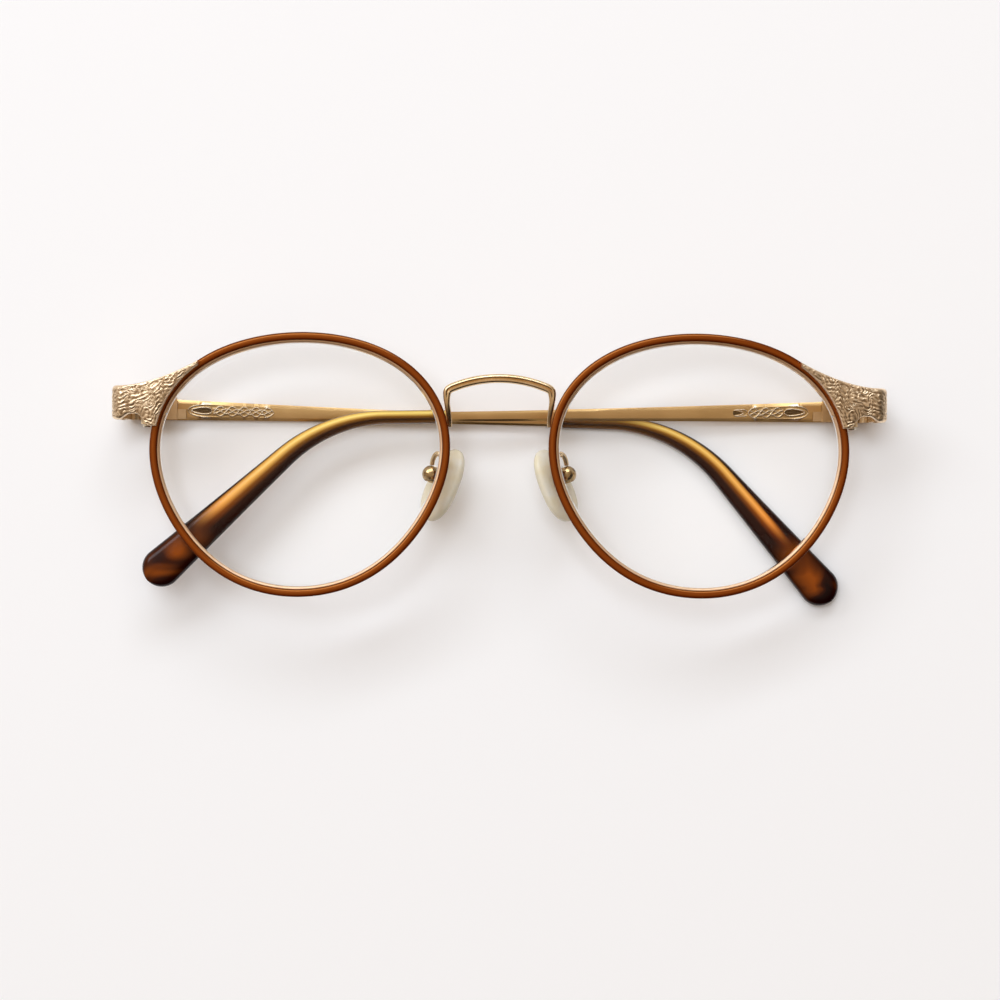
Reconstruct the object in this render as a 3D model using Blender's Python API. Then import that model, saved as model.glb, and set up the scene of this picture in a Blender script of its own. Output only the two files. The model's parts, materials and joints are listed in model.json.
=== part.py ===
"""Round eyeglasses, folded, lying on the outer side of their left temple, as separate pieces.

Metres, +Z up. +X runs along the front to the viewer's right, +Y to the top of the lenses, and the
front looks up along +Z. The floor under the folded glasses is z = 0, and the origin lies on it,
under the middle of the whole object. Side 1 is the +X half, side -1 its mirror image.
"""

from math import cos, pi, radians, sin, tan

import bmesh
import bpy
import numpy as np
from mathutils import Euler, Matrix, Vector
from mathutils.geometry import interpolate_bezier

# Lens outline, seen from the front
LENS_WIDTH = 0.0500
LENS_HEIGHT = 0.0437
NOSE_GAP = 0.0208
OUTLINE_LEAN = 0.000165
OUTLINE_CORNER = 0.00078
OUTLINE_SHOULDER = 0.00014

# Lens body and its bevelled edge
LENS_THICKNESS = 0.0019
LENS_BASE_RADIUS = 0.106
LENS_BEVEL = 0.0005
LENS_BEVEL_HALF = 0.00045
FACE_FORM = radians(3.0)
LENS_RISE = 0.0128
LENS_RING_SHARES = (0.4, 0.75)

# Metal eyewire and the thin acetate cover clipped round it
EYEWIRE_OUT = 0.00095
EYEWIRE_LIP = 0.00030
EYEWIRE_DEPTH = 0.0020
EYEWIRE_SPLIT = 0.0003
COVER_WIDTH = 0.00154
COVER_START = 0.00015
COVER_FRONT = 0.0005
COVER_BACK = 0.0004
COVER_BACK_LIP = 0.00100
COVER_ROUND = 0.00035

# Bridge: a bent, grooved bar with two legs
BRIDGE_INSET = 0.0011
BRIDGE_TOP = 0.01473
BRIDGE_RISE = 0.00170
BRIDGE_LEG_TOP = 0.0112
BRIDGE_FOOT_ANGLE = radians(13.5)
BRIDGE_HEIGHT = 0.00145
BRIDGE_DEPTH = 0.00130
BRIDGE_LEG_WIDTH = 0.00100
BRIDGE_GROOVE = 0.00022
BRIDGE_FORWARD = 0.00120
BRIDGE_TAPER = 1.6
BRIDGE_CORNER_PULL = 0.85
BRIDGE_SECTION = np.radians([-150, -110, -70, -30, 15, 45, 70])

# Endpiece: a cast wing that turns back into the flank
WING_REACH = 0.00835
WING_TOP_ANGLE = radians(137.0)
WING_LOW_ANGLE = radians(166.5)
WING_LAP = 0.00080
WING_THICKNESS = 0.00130
WING_TIP = 0.00075
WING_CORNER_TOP = 0.0133
WING_CORNER_LOW = 0.00725
WING_CORNER_RADIUS = 0.0020
WING_CORNER_RUN = 0.0032
WING_TOP_CURVE = 1.7
WING_HORN_WIDTH = 0.0009
WING_ARCH_TOP = 0.0083
WING_ARCH_RUN = 0.0026
WING_CROWN = 0.00025
WING_BEVEL = 0.00015

# Rim lock: two barrels on the eyewire's cut ends, drawn together by a screw
LOCK_Y = 0.0087
LOCK_BLOCK_HEIGHT = 0.0021
LOCK_RADIUS = 0.0010
LOCK_OUT = 0.00275
LOCK_SCREW_RADIUS = 0.00045
LOCK_HEAD_RADIUS = 0.00070
LOCK_HEAD_HEIGHT = 0.00045

# Temple hinge: three interleaved knuckles on one screw
HINGE_Y = 0.0095
KNUCKLE_RADIUS = 0.00120
KNUCKLE_HEIGHT = 0.00110
KNUCKLE_GAP = 0.00008
HINGE_LEAF = 0.00085
HINGE_FRONT_LENGTH = 0.0062
HINGE_TEMPLE_LENGTH = 0.0080
HINGE_TAIL_LENGTH = 0.0016
HINGE_TAIL_THICKNESS = 0.00050
HINGE_SCREW_RADIUS = 0.00045
HINGE_HEAD_RADIUS = 0.00075
HINGE_HEAD_HEIGHT = 0.00045

# Screw heads: how much of the radius stays flat on top, and of the height before the chamfer
HEAD_FLAT = 0.8
HEAD_WALL = 0.6

# Temples, measured along their centre line from the hinge axis
BAR_THICKNESS = 0.00120
BAR_HEIGHT = 0.00405
BAR_MOUTH_HEIGHT = 0.00175
BAR_TAPER = 1.6
BAR_CHAMFER = 0.00022
BAR_BUTT = 0.00090
TEMPLE_MOUTH = 0.0755
TEMPLE_BEND_START = 0.0867
TEMPLE_BEND_RADIUS = 0.0275
TEMPLE_CAP = 0.1360
LEFT_DROP = radians(1.5)
RIGHT_DROP = radians(1.0)
LEFT_BEND = radians(47.3)
RIGHT_BEND = radians(41.3)
RIGHT_OVERFOLD = radians(3.2)

# Core wire inside the acetate sleeve, and the sleeve itself
CORE_HEIGHT = 0.00150
CORE_THICKNESS = 0.00090
CORE_SHORT = 0.0085
SLEEVE_PROUD = 0.00045
SLEEVE_MOUTH_WIDTH = 0.0024
SLEEVE_TIP_WIDTH = 0.0070
SLEEVE_WIDENING = 1.3
SLEEVE_MOUTH_THICKNESS = 0.0022
SLEEVE_BEND_THICKNESS = 0.0025
SLEEVE_TIP_THICKNESS = 0.0033
SLEEVE_FLAT = 0.80
SLEEVE_SQUARENESS = 0.8
SLEEVE_CAP_RINGS = np.radians([25, 45, 62, 76])
SLEEVE_CAP_EDGE = 0.35

# Nose pads on their wire arms
PAD_PIN_OUT = 0.0018
PAD_PIN_Y = -0.0022
PAD_PIN_BACK = 0.0038
PAD_SPLAY = radians(37.0)
PAD_RAKE = radians(24.0)
PAD_LENGTH = 0.0137
PAD_WIDTH = 0.0083
PAD_THICKNESS = 0.0024
PAD_OVAL_POWER = 2.3
PAD_EGG_SHARE = 0.10
PAD_SECTION = ((0.72, 1.0), (0.90, 0.80), (1.0, 0.25), (1.0, -0.25), (0.88, -0.80), (0.66, -1.0))
PAD_STAND_OFF = 0.0034
PAD_DROP = 0.0009
PAD_BOX_RADIUS = 0.00160
PAD_PIN_RADIUS = 0.00035
PAD_PIN_LENGTH = 0.00294
LUG_WIDTH = 0.00090
LUG_LENGTH = 0.00130
INSERT_LENGTH = 0.0080
INSERT_WIDTH = 0.0036
INSERT_THICKNESS = 0.00050
ARM_RADIUS = 0.00042
ARM_FOOT_ANGLE = radians(0.5)
ARM_LOOP_RISE = 0.0021
ARM_END_WAY = (-0.1, 1.0, 0.35)

# Clearances
SEAM = 0.00020
FIT = 0.00010
STOP_GAP = 0.00020
KNUCKLE_CLEAR = 0.00015

# Fineness of the round shapes
RIM_STEPS = 60
WIRE_SIDES = 12
SLEEVE_SIDES = 14

# Places that follow from the sizes
RIM_X = (LENS_WIDTH + NOSE_GAP) / 2
FRONT_WIDTH = 2 * LENS_WIDTH + NOSE_GAP + 2 * WING_REACH
BAR_INNER = KNUCKLE_RADIUS + KNUCKLE_CLEAR
BAR_OUTER = BAR_INNER + BAR_THICKNESS
BAR_MIDDLE = -(BAR_INNER + BAR_OUTER) / 2
HINGE_X = FRONT_WIDTH / 2 - BAR_OUTER
HINGE_RISE = BAR_OUTER + SLEEVE_PROUD
FLANK_END = BAR_BUTT + STOP_GAP
TEMPLE_END = TEMPLE_CAP + SLEEVE_TIP_WIDTH / 2
CORE_END = TEMPLE_CAP - CORE_SHORT


# Mesh helpers

def clear_scene():
    for obj in list(bpy.data.objects):
        bpy.data.objects.remove(obj)


def metal(name, colour, roughness):
    return finish(name, colour, roughness, metallic=1.0)


def finish(name, colour, roughness, metallic=0.0, transmission=0.0):
    """A Principled material: colour, roughness, metallic and how much light passes through."""
    made = bpy.data.materials.new(name)
    made.use_nodes = True
    shader = made.node_tree.nodes["Principled BSDF"]
    shader.inputs["Base Color"].default_value = (*colour, 1.0)
    shader.inputs["Roughness"].default_value = roughness
    shader.inputs["Metallic"].default_value = metallic
    shader.inputs["Transmission Weight"].default_value = transmission
    return made


def empty(name, location, turn_y=0.0, parent=None):
    """A holder on a joint's axis, or at a natural reference point, that carries pieces."""
    holder = bpy.data.objects.new(name, None)
    holder.empty_display_size = 0.005
    holder.location = location
    holder.rotation_euler = Euler((0.0, turn_y, 0.0))
    holder.parent = parent
    bpy.context.scene.collection.objects.link(holder)
    return holder


def signed_volume(points, faces):
    total = 0.0
    for face in faces:
        first = points[face[0]]
        for second, third in zip(face[1:-1], face[2:]):
            total += np.dot(first, np.cross(points[second], points[third]))
    return total


def solid(name, shape, material, parent, side=1, sharp=radians(32.0)):
    """One closed mesh object. Side -1 mirrors it, and its faces are wound to point out."""
    points, faces = shape
    points = np.asarray(points, float) * (side, 1.0, 1.0)
    centred = points - points.mean(axis=0)
    if signed_volume(centred, faces) < 0:
        faces = [tuple(face)[::-1] for face in faces]
    mesh = bpy.data.meshes.new(name)
    mesh.from_pydata(points.tolist(), [], faces)
    mesh.shade_smooth()
    mesh.set_sharp_from_angle(angle=sharp)
    mesh.materials.append(material)
    made = bpy.data.objects.new(name, mesh)
    made.parent = parent
    bpy.context.scene.collection.objects.link(made)
    return made


def helper(name, shape, parent, side=1):
    """A cutter or a shape to join on, left out of renders."""
    made = solid(name, shape, bpy.data.materials["brass_wire"], parent, side)
    made.hide_render = True
    made.display_type = "WIRE"
    return made


def combine(target, other, operation):
    modifier = target.modifiers.new(f"{operation.lower()}_{other.name}"[:60], "BOOLEAN")
    modifier.operation = operation
    modifier.solver = "EXACT"
    modifier.object = other


def skin(rings, closed=False):
    """Quads between rings of points: a closed tube, or one with a flat cap at each end."""
    rings = np.asarray(rings, float)
    count, size = rings.shape[:2]
    faces = []
    for ring in range(count if closed else count - 1):
        above = (ring + 1) % count
        for at in range(size):
            after = (at + 1) % size
            faces.append(
                (ring * size + at, ring * size + after, above * size + after, above * size + at)
            )
    if not closed:
        faces.append(tuple(range(size))[::-1])
        faces.append(tuple(range((count - 1) * size, count * size)))
    return rings.reshape(-1, 3), faces


def domed_skin(rings, first_pole, last_pole):
    """Quads between rings, and a fan from each end ring to its pole."""
    points, faces = skin(rings)
    size = np.asarray(rings).shape[1]
    start = len(points)
    last = start - size
    faces = faces[:-2]
    for at in range(size):
        after = (at + 1) % size
        faces.append((start, after, at))
        faces.append((start + 1, last + at, last + after))
    return np.vstack([points, first_pole, last_pole]), faces


def turned(profile, sides=WIRE_SIDES):
    """A profile of (radius, height) turned about +Y, from its lower pole to its upper one."""
    around = np.linspace(0.0, 2 * pi, sides, endpoint=False)
    circle = np.stack([np.cos(around), np.zeros(sides), np.sin(around)], axis=1)
    rings = [radius * circle + (0.0, height, 0.0) for radius, height in profile]
    return domed_skin(rings, (0.0, profile[0][1], 0.0), (0.0, profile[-1][1], 0.0))


def block(low, high):
    """A box from its lowest to its highest corner."""
    made = bmesh.new()
    middle = (Vector(low) + Vector(high)) / 2
    size = Vector(high) - Vector(low)
    place = Matrix.Translation(middle) @ Matrix.Diagonal((*size, 1.0))
    bmesh.ops.create_cube(made, size=1.0, matrix=place)
    return from_bmesh(made)


def from_bmesh(made):
    """Points and faces of a bmesh, which is freed."""
    made.verts.index_update()
    points = np.array([vertex.co[:] for vertex in made.verts])
    faces = [tuple(vertex.index for vertex in face.verts) for face in made.faces]
    made.free()
    return points, faces


def moved(shape, offset):
    points, faces = shape
    return np.asarray(points) + np.asarray(offset), faces


def rotated(shape, matrix):
    points, faces = shape
    return np.asarray(points) @ np.array(matrix).T, faces


def extruded(outline, low, high):
    """A flat outline of (x, z) points made solid between two heights along Y."""
    outline = np.asarray(outline, float)
    rings = [np.insert(outline, 1, height, axis=1) for height in (low, high)]
    return skin(rings)


def smooth_step(share):
    """0 below 0, 1 above 1, and an S curve between."""
    share = np.clip(share, 0.0, 1.0)
    return share * share * (3 - 2 * share)


# The lens outline, and the curved surface that the whole front follows

def outline_radius(angle):
    """Distance of the lens edge from the lens centre. Angle 0 points to the nose, pi/2 up."""
    mean = (LENS_WIDTH + LENS_HEIGHT) / 4
    stretch = (LENS_WIDTH - LENS_HEIGHT) / 4
    return (
        mean
        + stretch * np.cos(2 * angle)
        + OUTLINE_LEAN * np.sin(2 * angle)
        + OUTLINE_CORNER * np.sin(3 * angle)
        + OUTLINE_SHOULDER * np.sin(5 * angle)
    )


def outline_slope(angle):
    """How fast outline_radius grows with the angle."""
    stretch = (LENS_WIDTH - LENS_HEIGHT) / 4
    return (
        -2 * stretch * np.sin(2 * angle)
        + 2 * OUTLINE_LEAN * np.cos(2 * angle)
        + 3 * OUTLINE_CORNER * np.cos(3 * angle)
        + 5 * OUTLINE_SHOULDER * np.cos(5 * angle)
    )


def surface_height(across, up):
    """Height of the lens's middle surface above the hinge axis. Across runs away from the nose."""
    fall = LENS_BASE_RADIUS - np.sqrt(LENS_BASE_RADIUS**2 - across**2 - up**2)
    return LENS_RISE - fall - tan(FACE_FORM) * across


def rim_point(angle, out, depth):
    """A point of the rim on side 1: out beyond the lens edge, square to it, and depth in front."""
    angle, out, depth = np.broadcast_arrays(*np.atleast_1d(angle, out, depth))
    radius = outline_radius(angle)
    slope = outline_slope(angle)
    across = -radius * np.cos(angle)
    up = radius * np.sin(angle)
    along_x = radius * np.sin(angle) - slope * np.cos(angle)
    along_y = radius * np.cos(angle) + slope * np.sin(angle)
    length = np.hypot(along_x, along_y)
    x = RIM_X + across - out * along_y / length
    y = up + out * along_x / length
    return np.stack([x, y, surface_height(across, up) + depth], axis=-1)


def rim_rings(angles, profile):
    """One ring of profile points (out, depth) at each angle round the rim."""
    profile = np.asarray(profile, float)
    return rim_point(np.asarray(angles)[:, None], profile[None, :, 0], profile[None, :, 1])


def rim_angle_at(height, out):
    """The angle on the rim's outer side at which the curve this far out is at this height."""
    angles = np.linspace(pi / 2 + 0.3, pi + 0.2, 400)
    heights = rim_point(angles, out, 0.0)[:, 1]
    return float(np.interp(-height, -heights, angles))


def lens(side, material, parent):
    """A shallow dished disc with a pointed bevel round its edge."""
    angles = np.linspace(0.0, 2 * pi, RIM_STEPS, endpoint=False)
    half = LENS_THICKNESS / 2
    edge = [
        (-LENS_BEVEL, half),
        (-LENS_BEVEL, LENS_BEVEL_HALF),
        (0.0, 0.0),
        (-LENS_BEVEL, -LENS_BEVEL_HALF),
        (-LENS_BEVEL, -half),
    ]
    edge_rings = [rim_point(angles, out, depth) for out, depth in edge]
    rings = [lens_ring(angles, share, half) for share in LENS_RING_SHARES]
    rings += edge_rings
    rings += [lens_ring(angles, share, -half) for share in LENS_RING_SHARES[::-1]]
    middle = surface_height(0.0, 0.0)
    poles = ((RIM_X, 0.0, middle + half), (RIM_X, 0.0, middle - half))
    return solid(side_name("lens", side), domed_skin(rings, *poles), material, parent, side)


def lens_ring(angles, share, depth):
    """A ring of the lens face, a share of the way out from the middle."""
    radius = outline_radius(angles) * share
    across = -radius * np.cos(angles)
    up = radius * np.sin(angles)
    height = surface_height(across, up) + depth
    return np.stack([RIM_X + across, up, height], axis=-1)


def eyewire(side, material, parent):
    """The grooved metal rim that holds the lens, cut through at the rim lock."""
    half = EYEWIRE_DEPTH / 2
    groove = (EYEWIRE_LIP + FIT) * LENS_BEVEL_HALF / LENS_BEVEL + FIT
    profile = [
        (EYEWIRE_OUT, -half),
        (EYEWIRE_OUT, half),
        (-EYEWIRE_LIP, half),
        (-EYEWIRE_LIP, groove),
        (FIT, 0.0),
        (-EYEWIRE_LIP, -groove),
        (-EYEWIRE_LIP, -half),
    ]
    cut = rim_angle_at(LOCK_Y, EYEWIRE_OUT)
    half_split = EYEWIRE_SPLIT / 2 / outline_radius(cut)
    angles = np.linspace(cut + half_split, cut + 2 * pi - half_split, RIM_STEPS + 1)
    shape = skin(rim_rings(angles, profile))
    return solid(side_name("eyewire", side), shape, material, parent, side)


def rim_cover(side, material, parent):
    """The acetate channel over the eyewire, notched where the bridge and the rim lock reach in."""
    inside = EYEWIRE_OUT + FIT
    front = EYEWIRE_DEPTH / 2 + FIT
    back = -front
    profile = [
        (COVER_START, front),
        (COVER_START, front + COVER_FRONT - COVER_ROUND / 2),
        (COVER_START + COVER_ROUND, front + COVER_FRONT),
        (COVER_WIDTH - COVER_ROUND, front + COVER_FRONT),
        (COVER_WIDTH, front + COVER_FRONT - COVER_ROUND),
        (COVER_WIDTH, back),
        (COVER_WIDTH - COVER_ROUND, back - COVER_BACK),
        (COVER_WIDTH - COVER_BACK_LIP, back - COVER_BACK),
        (COVER_WIDTH - COVER_BACK_LIP, back),
        (inside, back),
        (inside, front),
    ]
    angles = np.linspace(0.0, 2 * pi, RIM_STEPS, endpoint=False)
    shape = skin(rim_rings(angles, profile), closed=True)
    cover = solid(side_name("rim_cover", side), shape, material, parent, side)
    combine(cover, lock_notch(side, parent), "DIFFERENCE")
    combine(cover, bridge_notch(side, parent), "DIFFERENCE")
    return cover


def lock_notch(side, parent):
    """Cutter for the cover's outer wall, where the rim lock's barrels reach the eyewire."""
    room = LOCK_BLOCK_HEIGHT + EYEWIRE_SPLIT + 2 * SEAM
    angles = np.linspace(rim_angle_at(LOCK_Y + room, 0.0), rim_angle_at(LOCK_Y - room, 0.0), 5)
    reach = COVER_WIDTH + LOCK_RADIUS
    depth = EYEWIRE_DEPTH + COVER_FRONT
    profile = [(EYEWIRE_OUT, -depth), (reach, -depth), (reach, depth), (EYEWIRE_OUT, depth)]
    shape = skin(rim_rings(angles, profile))
    return helper(side_name("cutter_lock_notch", side), shape, parent, side)


def bridge_notch(side, parent):
    """Cutter for the cover's outer wall and back lip, where a bridge leg lies on the eyewire."""
    reach = BRIDGE_LEG_WIDTH + 2 * SEAM
    radius = outline_radius(BRIDGE_FOOT_ANGLE)
    angles = BRIDGE_FOOT_ANGLE + np.linspace(-reach, 3 * reach, 5) / radius
    outer = EYEWIRE_OUT + SEAM + 2 * reach
    low = -EYEWIRE_DEPTH / 2 - COVER_BACK - reach
    high = EYEWIRE_DEPTH / 2 + FIT / 2
    profile = [(EYEWIRE_OUT, low), (outer, low), (outer, high), (EYEWIRE_OUT, high)]
    shape = skin(rim_rings(angles, profile))
    return helper(side_name("cutter_bridge_notch", side), shape, parent, side)


# Bridge

def bridge_foot():
    """The centre of a leg's end, beside the eyewire on side 1."""
    out = EYEWIRE_OUT + SEAM + BRIDGE_LEG_WIDTH / 2
    return Vector(rim_point(BRIDGE_FOOT_ANGLE, out, -BRIDGE_LEG_WIDTH / 2)[0])


def bridge_half_line():
    """Centre line from the crown's middle to a foot: an arc, a tight corner and a leg."""
    foot = bridge_foot()
    crown_height = surface_height(LENS_WIDTH / -2, 0.0) + BRIDGE_FORWARD
    half_span = NOSE_GAP / 2 - BRIDGE_INSET
    crown_x = np.linspace(0.0, half_span - BRIDGE_HEIGHT, 9)
    radius = (crown_x[-1] ** 2 + BRIDGE_RISE**2) / (2 * BRIDGE_RISE)
    crown_y = BRIDGE_TOP - radius + np.sqrt(radius**2 - crown_x**2)
    crown = [Vector((x, y, crown_height)) for x, y in zip(crown_x, crown_y)]
    slope = (crown[-1] - crown[-2]).normalized() * BRIDGE_HEIGHT
    down = Vector((0.0, -BRIDGE_HEIGHT, 0.0))
    leg_top = Vector((half_span, BRIDGE_LEG_TOP, crown_height))
    pull = leg_top - down * BRIDGE_CORNER_PULL
    turn = interpolate_bezier(crown[-1], crown[-1] + slope, pull, leg_top, 8)
    inward = Vector((-BRIDGE_LEG_WIDTH / 4, 0.0, BRIDGE_LEG_WIDTH / 2))
    leg = interpolate_bezier(leg_top, leg_top + down, foot - down + inward, foot, 10)
    return crown + turn[1:] + leg[1:]


def bridge(material, parent):
    """The grooved bridge bar, from one foot over the crown to the other."""
    half = bridge_half_line()
    mirrored = [Vector((-point.x, point.y, point.z)) for point in half[:0:-1]]
    line = np.array([point[:] for point in mirrored + half])
    leg_height = BRIDGE_TOP - BRIDGE_RISE
    thin = smooth_step((leg_height - line[:, 1]) / (leg_height - BRIDGE_LEG_TOP) / BRIDGE_TAPER)
    height = BRIDGE_HEIGHT + (BRIDGE_LEG_WIDTH - BRIDGE_HEIGHT) * thin
    depth = BRIDGE_DEPTH + (BRIDGE_LEG_WIDTH - BRIDGE_DEPTH) * thin
    groove = BRIDGE_GROOVE * (1 - thin)
    shape = skin(bar_rings(line, height, depth, groove))
    return solid("bridge", shape, material, parent)


def bar_rings(line, height, depth, groove):
    """Rings of a bar along a line: round-backed, with a groove along the middle of its front."""
    along = np.gradient(line, axis=0)
    along /= np.linalg.norm(along, axis=1, keepdims=True)
    front = np.array([0.0, 0.0, 1.0]) - along * along[:, 2:3]
    front /= np.linalg.norm(front, axis=1, keepdims=True)
    across = np.cross(front, along)
    half = np.stack([np.cos(BRIDGE_SECTION), np.sin(BRIDGE_SECTION)], axis=1)
    back, right = half[:3], half[3:]
    profile = np.vstack([back, right, right[::-1] * (-1, 1)])
    rings = (
        line[:, None, :]
        + across[:, None, :] * (profile[None, :, :1] * height[:, None, None] / 2)
        + front[:, None, :] * (profile[None, :, 1:] * depth[:, None, None] / 2)
    )
    dip = np.zeros(len(profile))
    dip[6:8] = 1.0
    return rings - front[:, None, :] * (dip[None, :, None] * groove[:, None, None])


# Endpiece wing

def wing_back(x):
    """Height of the wing's back face, laid on the cover's front at its two horns."""
    front = EYEWIRE_DEPTH / 2 + FIT + COVER_FRONT + SEAM
    top = rim_point(WING_TOP_ANGLE, WING_LAP, front)[0]
    low = rim_point(WING_LOW_ANGLE, WING_LAP, front)[0]
    return top[2] + (low[2] - top[2]) * (x - top[0]) / (low[0] - top[0])


def wing_slope():
    """The angle by which the wing's face falls towards the corner."""
    return float(np.arctan((wing_back(0.0) - wing_back(1.0))))


def wing_low_edge(x):
    """Lower edge between horn and corner: down at the horn, up in an arch, down at the corner."""
    horn = rim_point(WING_LOW_ANGLE, WING_LAP, 0.0)[0]
    arch = smooth_step((x - horn[0] - WING_HORN_WIDTH) / WING_ARCH_RUN)
    corner_start = FRONT_WIDTH / 2 - WING_CORNER_RUN
    corner = smooth_step((x - corner_start) / WING_CORNER_RADIUS)
    return horn[1] + (WING_ARCH_TOP - horn[1]) * arch - (WING_ARCH_TOP - WING_CORNER_LOW) * corner


def wing_stations():
    """Points of the outer skin in the x-z plane, their outward normals, and the y range at each."""
    slope = wing_slope()
    edge = rim_point(np.linspace(WING_TOP_ANGLE, WING_LOW_ANGLE, 11), WING_LAP, 0.0)
    centre_x = FRONT_WIDTH / 2 - WING_CORNER_RADIUS
    corner_x = centre_x + WING_CORNER_RADIUS * sin(slope)
    face_x = np.linspace(edge[-1, 0], corner_x, 11)[1:]
    x = np.concatenate([edge[:, 0], face_x])
    z = wing_back(x) + WING_THICKNESS / cos(slope)
    normals = np.tile([sin(slope), cos(slope)], (len(x), 1))
    low = np.concatenate([edge[:, 1], wing_low_edge(face_x)])
    centre_z = z[-1] - WING_CORNER_RADIUS * cos(slope)
    turn = np.linspace(slope, pi / 2, 6)[1:]
    turn_normals = np.stack([np.sin(turn), np.cos(turn)], axis=1)
    turn_points = np.array([centre_x, centre_z]) + WING_CORNER_RADIUS * turn_normals
    flank_z = np.linspace(centre_z, FLANK_END, 6)[1:]
    flank_points = np.stack([np.full(5, FRONT_WIDTH / 2), flank_z], axis=1)
    points = np.vstack([np.stack([x, z], axis=1), turn_points, flank_points])
    normals = np.vstack([normals, turn_normals, np.tile([1.0, 0.0], (5, 1))])
    tip = edge[0, 1] + WING_TIP
    rise = np.clip((corner_x - points[:, 0]) / (corner_x - edge[0, 0]), 0.0, 1.0)
    high = WING_CORNER_TOP + (tip - WING_CORNER_TOP) * rise**WING_TOP_CURVE
    low = np.concatenate([low, wing_low_edge(turn_points[:, 0]), np.full(5, WING_CORNER_LOW)])
    taper = smooth_step((centre_z - points[:, 1]) / (centre_z - FLANK_END))
    hinge_half = BAR_HEIGHT / 2 + FIT
    high = high + (HINGE_Y + hinge_half - high) * taper
    low = low + (HINGE_Y - hinge_half - low) * taper
    return points, normals, low, high


def endpiece(side, material, parent):
    """The cast wing: laid over the rim's corner, turned round and back down to the hinge."""
    points, normals, low, high = wing_stations()
    bevel = np.minimum(WING_BEVEL, (high - low) / 5)
    middle = (low + high) / 2
    crown = WING_CROWN * np.clip((high - low) / (WING_CORNER_TOP - WING_CORNER_LOW), 0.0, 1.0)
    crown = crown * np.clip((points[:, 1] - FLANK_END) / WING_CORNER_RADIUS, 0.0, 1.0)
    crown[points[:, 0] > FRONT_WIDTH / 2 - WING_CORNER_RADIUS / 2] = 0.0
    section = [
        (-bevel, low),
        (0 * bevel, low + bevel),
        (crown, middle),
        (0 * bevel, high - bevel),
        (-bevel, high),
        (0 * bevel - WING_THICKNESS, high),
        (0 * bevel - WING_THICKNESS, low),
    ]
    rings = np.zeros((len(points), len(section), 3))
    for at, (out, height) in enumerate(section):
        rings[:, at, 0] = points[:, 0] + normals[:, 0] * out
        rings[:, at, 1] = height
        rings[:, at, 2] = points[:, 1] + normals[:, 1] * out
    return solid(side_name("endpiece", side), skin(rings), material, parent, side)


# Rim lock

def lock_centre():
    """x and z of the rim lock's screw axis."""
    x = rim_point(rim_angle_at(LOCK_Y - LOCK_BLOCK_HEIGHT, EYEWIRE_OUT), EYEWIRE_OUT, 0.0)[0, 0]
    x += LOCK_OUT - LOCK_RADIUS
    return x, wing_back(x + LOCK_RADIUS) - SEAM - LOCK_RADIUS


def lock_block(side, upper, material, parent):
    """One barrel: its inner face follows the eyewire, and the screw passes down through it."""
    x, z = lock_centre()
    gap = EYEWIRE_SPLIT / 2
    sign = 1 if upper else -1
    ends = LOCK_Y + sign * np.array([gap, gap + LOCK_BLOCK_HEIGHT])
    around = np.linspace(pi / 2, -pi / 2, 7)
    rings = []
    for height in np.linspace(ends.min(), ends.max(), 4):
        angle = rim_angle_at(height, EYEWIRE_OUT + SEAM)
        inner = rim_point(angle, EYEWIRE_OUT + SEAM, 0.0)[0, 0]
        barrel = [(x + LOCK_RADIUS * cos(a), height, z + LOCK_RADIUS * sin(a)) for a in around]
        rings.append([(inner, height, z + LOCK_RADIUS), *barrel, (inner, height, z - LOCK_RADIUS)])
    name = side_name("rim_lock_upper" if upper else "rim_lock_lower", side)
    made = solid(name, skin(rings), material, parent, side)
    bore = LOCK_SCREW_RADIUS + FIT
    low = ends.min() - SEAM
    high = ends.max() + SEAM if not upper else ends.max() - LOCK_HEAD_HEIGHT
    hole = moved(turned([(bore, low), (bore, high)]), (x, 0.0, z))
    combine(made, helper(f"cutter_{name}", hole, parent, side), "DIFFERENCE")
    return made


def lock_screw(side, material, parent):
    """The rim screw: its head bears on the lower barrel and its end sits in the upper one."""
    x, z = lock_centre()
    bottom = LOCK_Y - EYEWIRE_SPLIT / 2 - LOCK_BLOCK_HEIGHT - FIT
    top = LOCK_Y + EYEWIRE_SPLIT / 2 + LOCK_BLOCK_HEIGHT - LOCK_HEAD_HEIGHT - SEAM
    profile = [
        (LOCK_HEAD_RADIUS * HEAD_FLAT, bottom - LOCK_HEAD_HEIGHT),
        (LOCK_HEAD_RADIUS, bottom - LOCK_HEAD_HEIGHT * HEAD_WALL),
        (LOCK_HEAD_RADIUS, bottom),
        (LOCK_SCREW_RADIUS, bottom),
        (LOCK_SCREW_RADIUS, top),
    ]
    shape = moved(turned(profile), (x, 0.0, z))
    return solid(side_name("rim_lock_screw", side), shape, material, parent, side)


# Hinge

def knuckle(low, high):
    """A solid knuckle on the hinge axis, between two heights."""
    around = np.linspace(0.0, 2 * pi, 16, endpoint=False)
    circle = np.stack([np.cos(around), np.sin(around)], axis=1) * KNUCKLE_RADIUS
    return extruded(circle, low, high)


def screw_hole(name, parent, side):
    """Cutter for the hinge screw's hole, through every knuckle."""
    bore = HINGE_SCREW_RADIUS + FIT
    reach = BAR_HEIGHT
    return helper(name, turned([(bore, -reach), (bore, reach)]), parent, side)


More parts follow.
